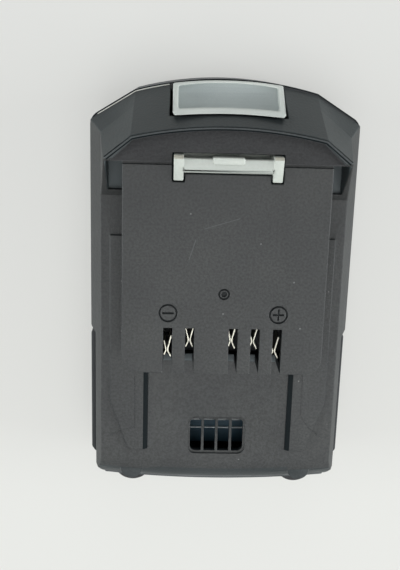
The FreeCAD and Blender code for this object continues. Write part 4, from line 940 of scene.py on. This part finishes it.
def swept_piece(name, line, profile, material):
    """A fine line made by sweeping a profile."""
    shape = bmesh.new()
    swept_profile(shape, line, profile)
    return make_piece(name, shape, material)


print("sweeping tools ready")

# %% Bead, rim and witness lines
bead = swept_piece("Ridge_bead", crest_line(25.45, 47.1, 50.0, (32.3, 41.6)),
                   [(-0.5, 46.7), (-0.5, 46.9), (-0.14, 47.1), (0.3, 47.1), (0.62, 46.6), (0.5, 46.2)],
                   hood_finish_and_shade)
# The bead's flanks take painted shade, which draws the double line.
finish_faces(bead, groove_painted_shade, lambda p, n: 0.05 < n.z < 0.95)
rim_half = [(25.5, 58.7), (36.1, 52.2), (36.6, 51.9), (37.3, 51.0), (37.9, 49.6)]
rim_line = [(-x, y) for x, y in reversed(rim_half)] + front_edge(62.15, range(-24, 25, 2)) + rim_half
# The rim's dark edge is a painted shadow line in front of the hood.
swept_piece("Rim_painted_shadow", rim_line, [(0.03, 27.5), (0.06, 27.8), (0.32, 27.84), (0.36, 27.7)],
            groove_painted_shade)
# A pale strip at one side of the rim is a painted highlight.
highlight_line = [(-35.84, 51.77), (-25.3, 58.24)] + front_edge(61.65, (-23.0, -20.5, -18.0, -16.0))
swept_piece("Rim_painted_highlight", highlight_line, [(-0.16, 27.74), (-0.12, 27.93), (0.12, 27.93), (0.16, 27.74)],
            painted_rim_highlight)
hair = [(-0.06, 34.58), (-0.03, 34.63), (0.03, 34.63), (0.06, 34.58)]
# The witness lines take the walls' painted shade.
for side, line in (("left", [(-24.7, -22.3), (-24.57, -39.48), (-29.85, -41.18), (-32.0, -42.6)]),
                   ("right", [(24.86, -21.46), (24.87, -34.86), (26.0, -36.78), (27.68, -39.04),
                              (32.0, -42.5)])):
    swept_piece(f"Witness_line_{side}", line, hair, wall_painted_shade)
# The hem strip stands for a glint in the vent.
glint_line = [Vector((x * MM, -44.6 * MM)) for x in (-9.5, -4, 1, 5, 9.5)]
glint_shape = bmesh.new()
leaf_strip(glint_shape, glint_line, 0.00026, 0.0221, 0.0229)
bmesh.ops.recalc_face_normals(glint_shape, faces=glint_shape.faces)
make_piece("Insulator_hem_glint", glint_shape, hem_painted_glint)
print("six fine lines laid")

# %% [markdown]
# Screws and cells are turned shapes. A turned shape is a profile spun round an axis, with every ring
# holding the same number of points, so one helper makes them all. A ring may also be wavy, which gives the
# six-lobed recess in a screw's head.

# %% Turned shapes
def turned(shape, rings, centre, axis="Z", sides=48, lobes=6):
    """Rings are (radius, height, lobe depth); the first and last close the shape."""
    made = []
    for radius, height, lobe in rings:
        ring = []
        for k in range(sides):
            a = k * math.tau / sides
            r = radius + lobe * math.cos(lobes * a)
            flat = (r * math.cos(a), r * math.sin(a))
            local = Vector((*flat, height)) if axis == "Z" else Vector((height, *flat))
            ring.append(shape.verts.new(Vector(centre) + local))
        made.append(ring)
    join_rows(shape, made)


def finish_turned(name, shape, material, nodes=()):
    """Smooth the round faces of a turned piece and put it on the pack."""
    bmesh.ops.recalc_face_normals(shape, faces=shape.faces)
    for edge in shape.edges:
        edge.smooth = edge.calc_face_angle(0) < math.radians(35)
    for face in shape.faces:
        face.smooth = True
    return make_piece(name, shape, material, nodes=nodes)


print("turning tools ready")

# %% [markdown]
# Four screws close the case from below. Each has a six-lobed recess, a head, a neck and a thread, which is
# a stack of rings here: a true helix would look the same in a blind hole.

# %% Case screws
HEAD_RADIUS, SHAFT_RADIUS, CORE, HEAD_TALL, PITCH = 0.0026, 0.00145, 0.78, 0.0022, 0.0009
case_low, case_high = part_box("case_screws")
seat = case_low.z + HEAD_TALL
screw_rings = [(0.0009, case_low.z + 0.0012, 0.00022), (0.0009, case_low.z, 0.00022),
               (HEAD_RADIUS * 0.8, case_low.z, 0), (HEAD_RADIUS * 0.95, case_low.z + 0.0003, 0),
               (HEAD_RADIUS, case_low.z + 0.0008, 0), (HEAD_RADIUS, seat, 0), (SHAFT_RADIUS, seat, 0)]
for t in range(int((case_high.z - seat - 0.002) / PITCH)):
    z = seat + 0.0006 + t * PITCH
    screw_rings += [(SHAFT_RADIUS * CORE, z, 0), (SHAFT_RADIUS, z + PITCH * 0.4, 0),
                    (SHAFT_RADIUS * CORE, z + PITCH * 0.8, 0)]
screw_rings += [(SHAFT_RADIUS * CORE, case_high.z - 0.0008, 0), (SHAFT_RADIUS * 0.3, case_high.z, 0)]
for row, x, y in (("front", 0.0192, 0.05165), ("rear", 0.0256, -0.05395)):
    for side, sign in (("right", 1), ("left", -1)):
        shape = bmesh.new()
        turned(shape, screw_rings, (sign * x, y, 0))
        finish_turned(f"Housing_screw_{row}_{side}", shape, screw_steel)
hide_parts("case_screws")

# %% [markdown]
# A cell is a steel can in a shrunk sleeve. The sleeve rolls over both ends, and one end has a groove and a
# cap. Neighbours lie head to tail, as a row in series does.

# %% Cells
for i in range(1, 6):
    low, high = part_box(f"cell_{i}")
    radius, length = (high.z - low.z) / 2, high.x - low.x
    centre = Vector((0, (low.y + high.y) / 2, (low.z + high.z) / 2))
    sense = 1 if i % 2 else -1
    profile = [(0.006, 0.0002), (0.0068, 0.0), (radius - 0.0008, 0.0), (radius - 0.0002, 0.0002),
               (radius, 0.0009), (radius, length - 0.0052), (radius - 0.0006, length - 0.0044),
               (radius - 0.0006, length - 0.0036), (radius, length - 0.0028), (radius, length - 0.0012),
               (radius - 0.0004, length - 0.0005), (radius - 0.0022, length - 0.0004),
               (radius - 0.0026, length - 0.0014), (0.0046, length - 0.0014),
               (0.0042, length - 0.0002), (0.0038, length)]
    shape = bmesh.new()
    turned(shape, [(r, sense * (h - length / 2), 0) for r, h in profile], centre, axis="X", sides=64)
    finish_turned(f"Cell_{i}_can", shape, cell_wrap, (f"cell_{i}",))
print("five cells lie side by side")

# %% [markdown]
# What stays as the CAD made it still needs its own finish, so each node gets the material of its slot.

# %% Finishes for the carried-over nodes
finishes = {
    "circuit_board": board_laminate, "power_transistors": package_black, "control_chip": package_black,
    "shunt_resistor": resistor_metal, "capacitors": package_black, "fuse": fuse_body,
    "thermistor": thermistor_bead, "end_insulator_left": insulating_paper,
    "end_insulator_right": insulating_paper, "top_insulator": insulating_paper, "foam_strip": foam,
    "positive_strip": nickel, "negative_strip": nickel, "board_screws": screw_steel,
}
for first in range(1, 5):
    finishes[f"link_strip_{first}_{first + 1}"] = nickel
for node, finish in finishes.items():
    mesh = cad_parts[node].data
    mesh.materials.clear()
    mesh.materials.append(finish)
print("finished nodes:", len(finishes))
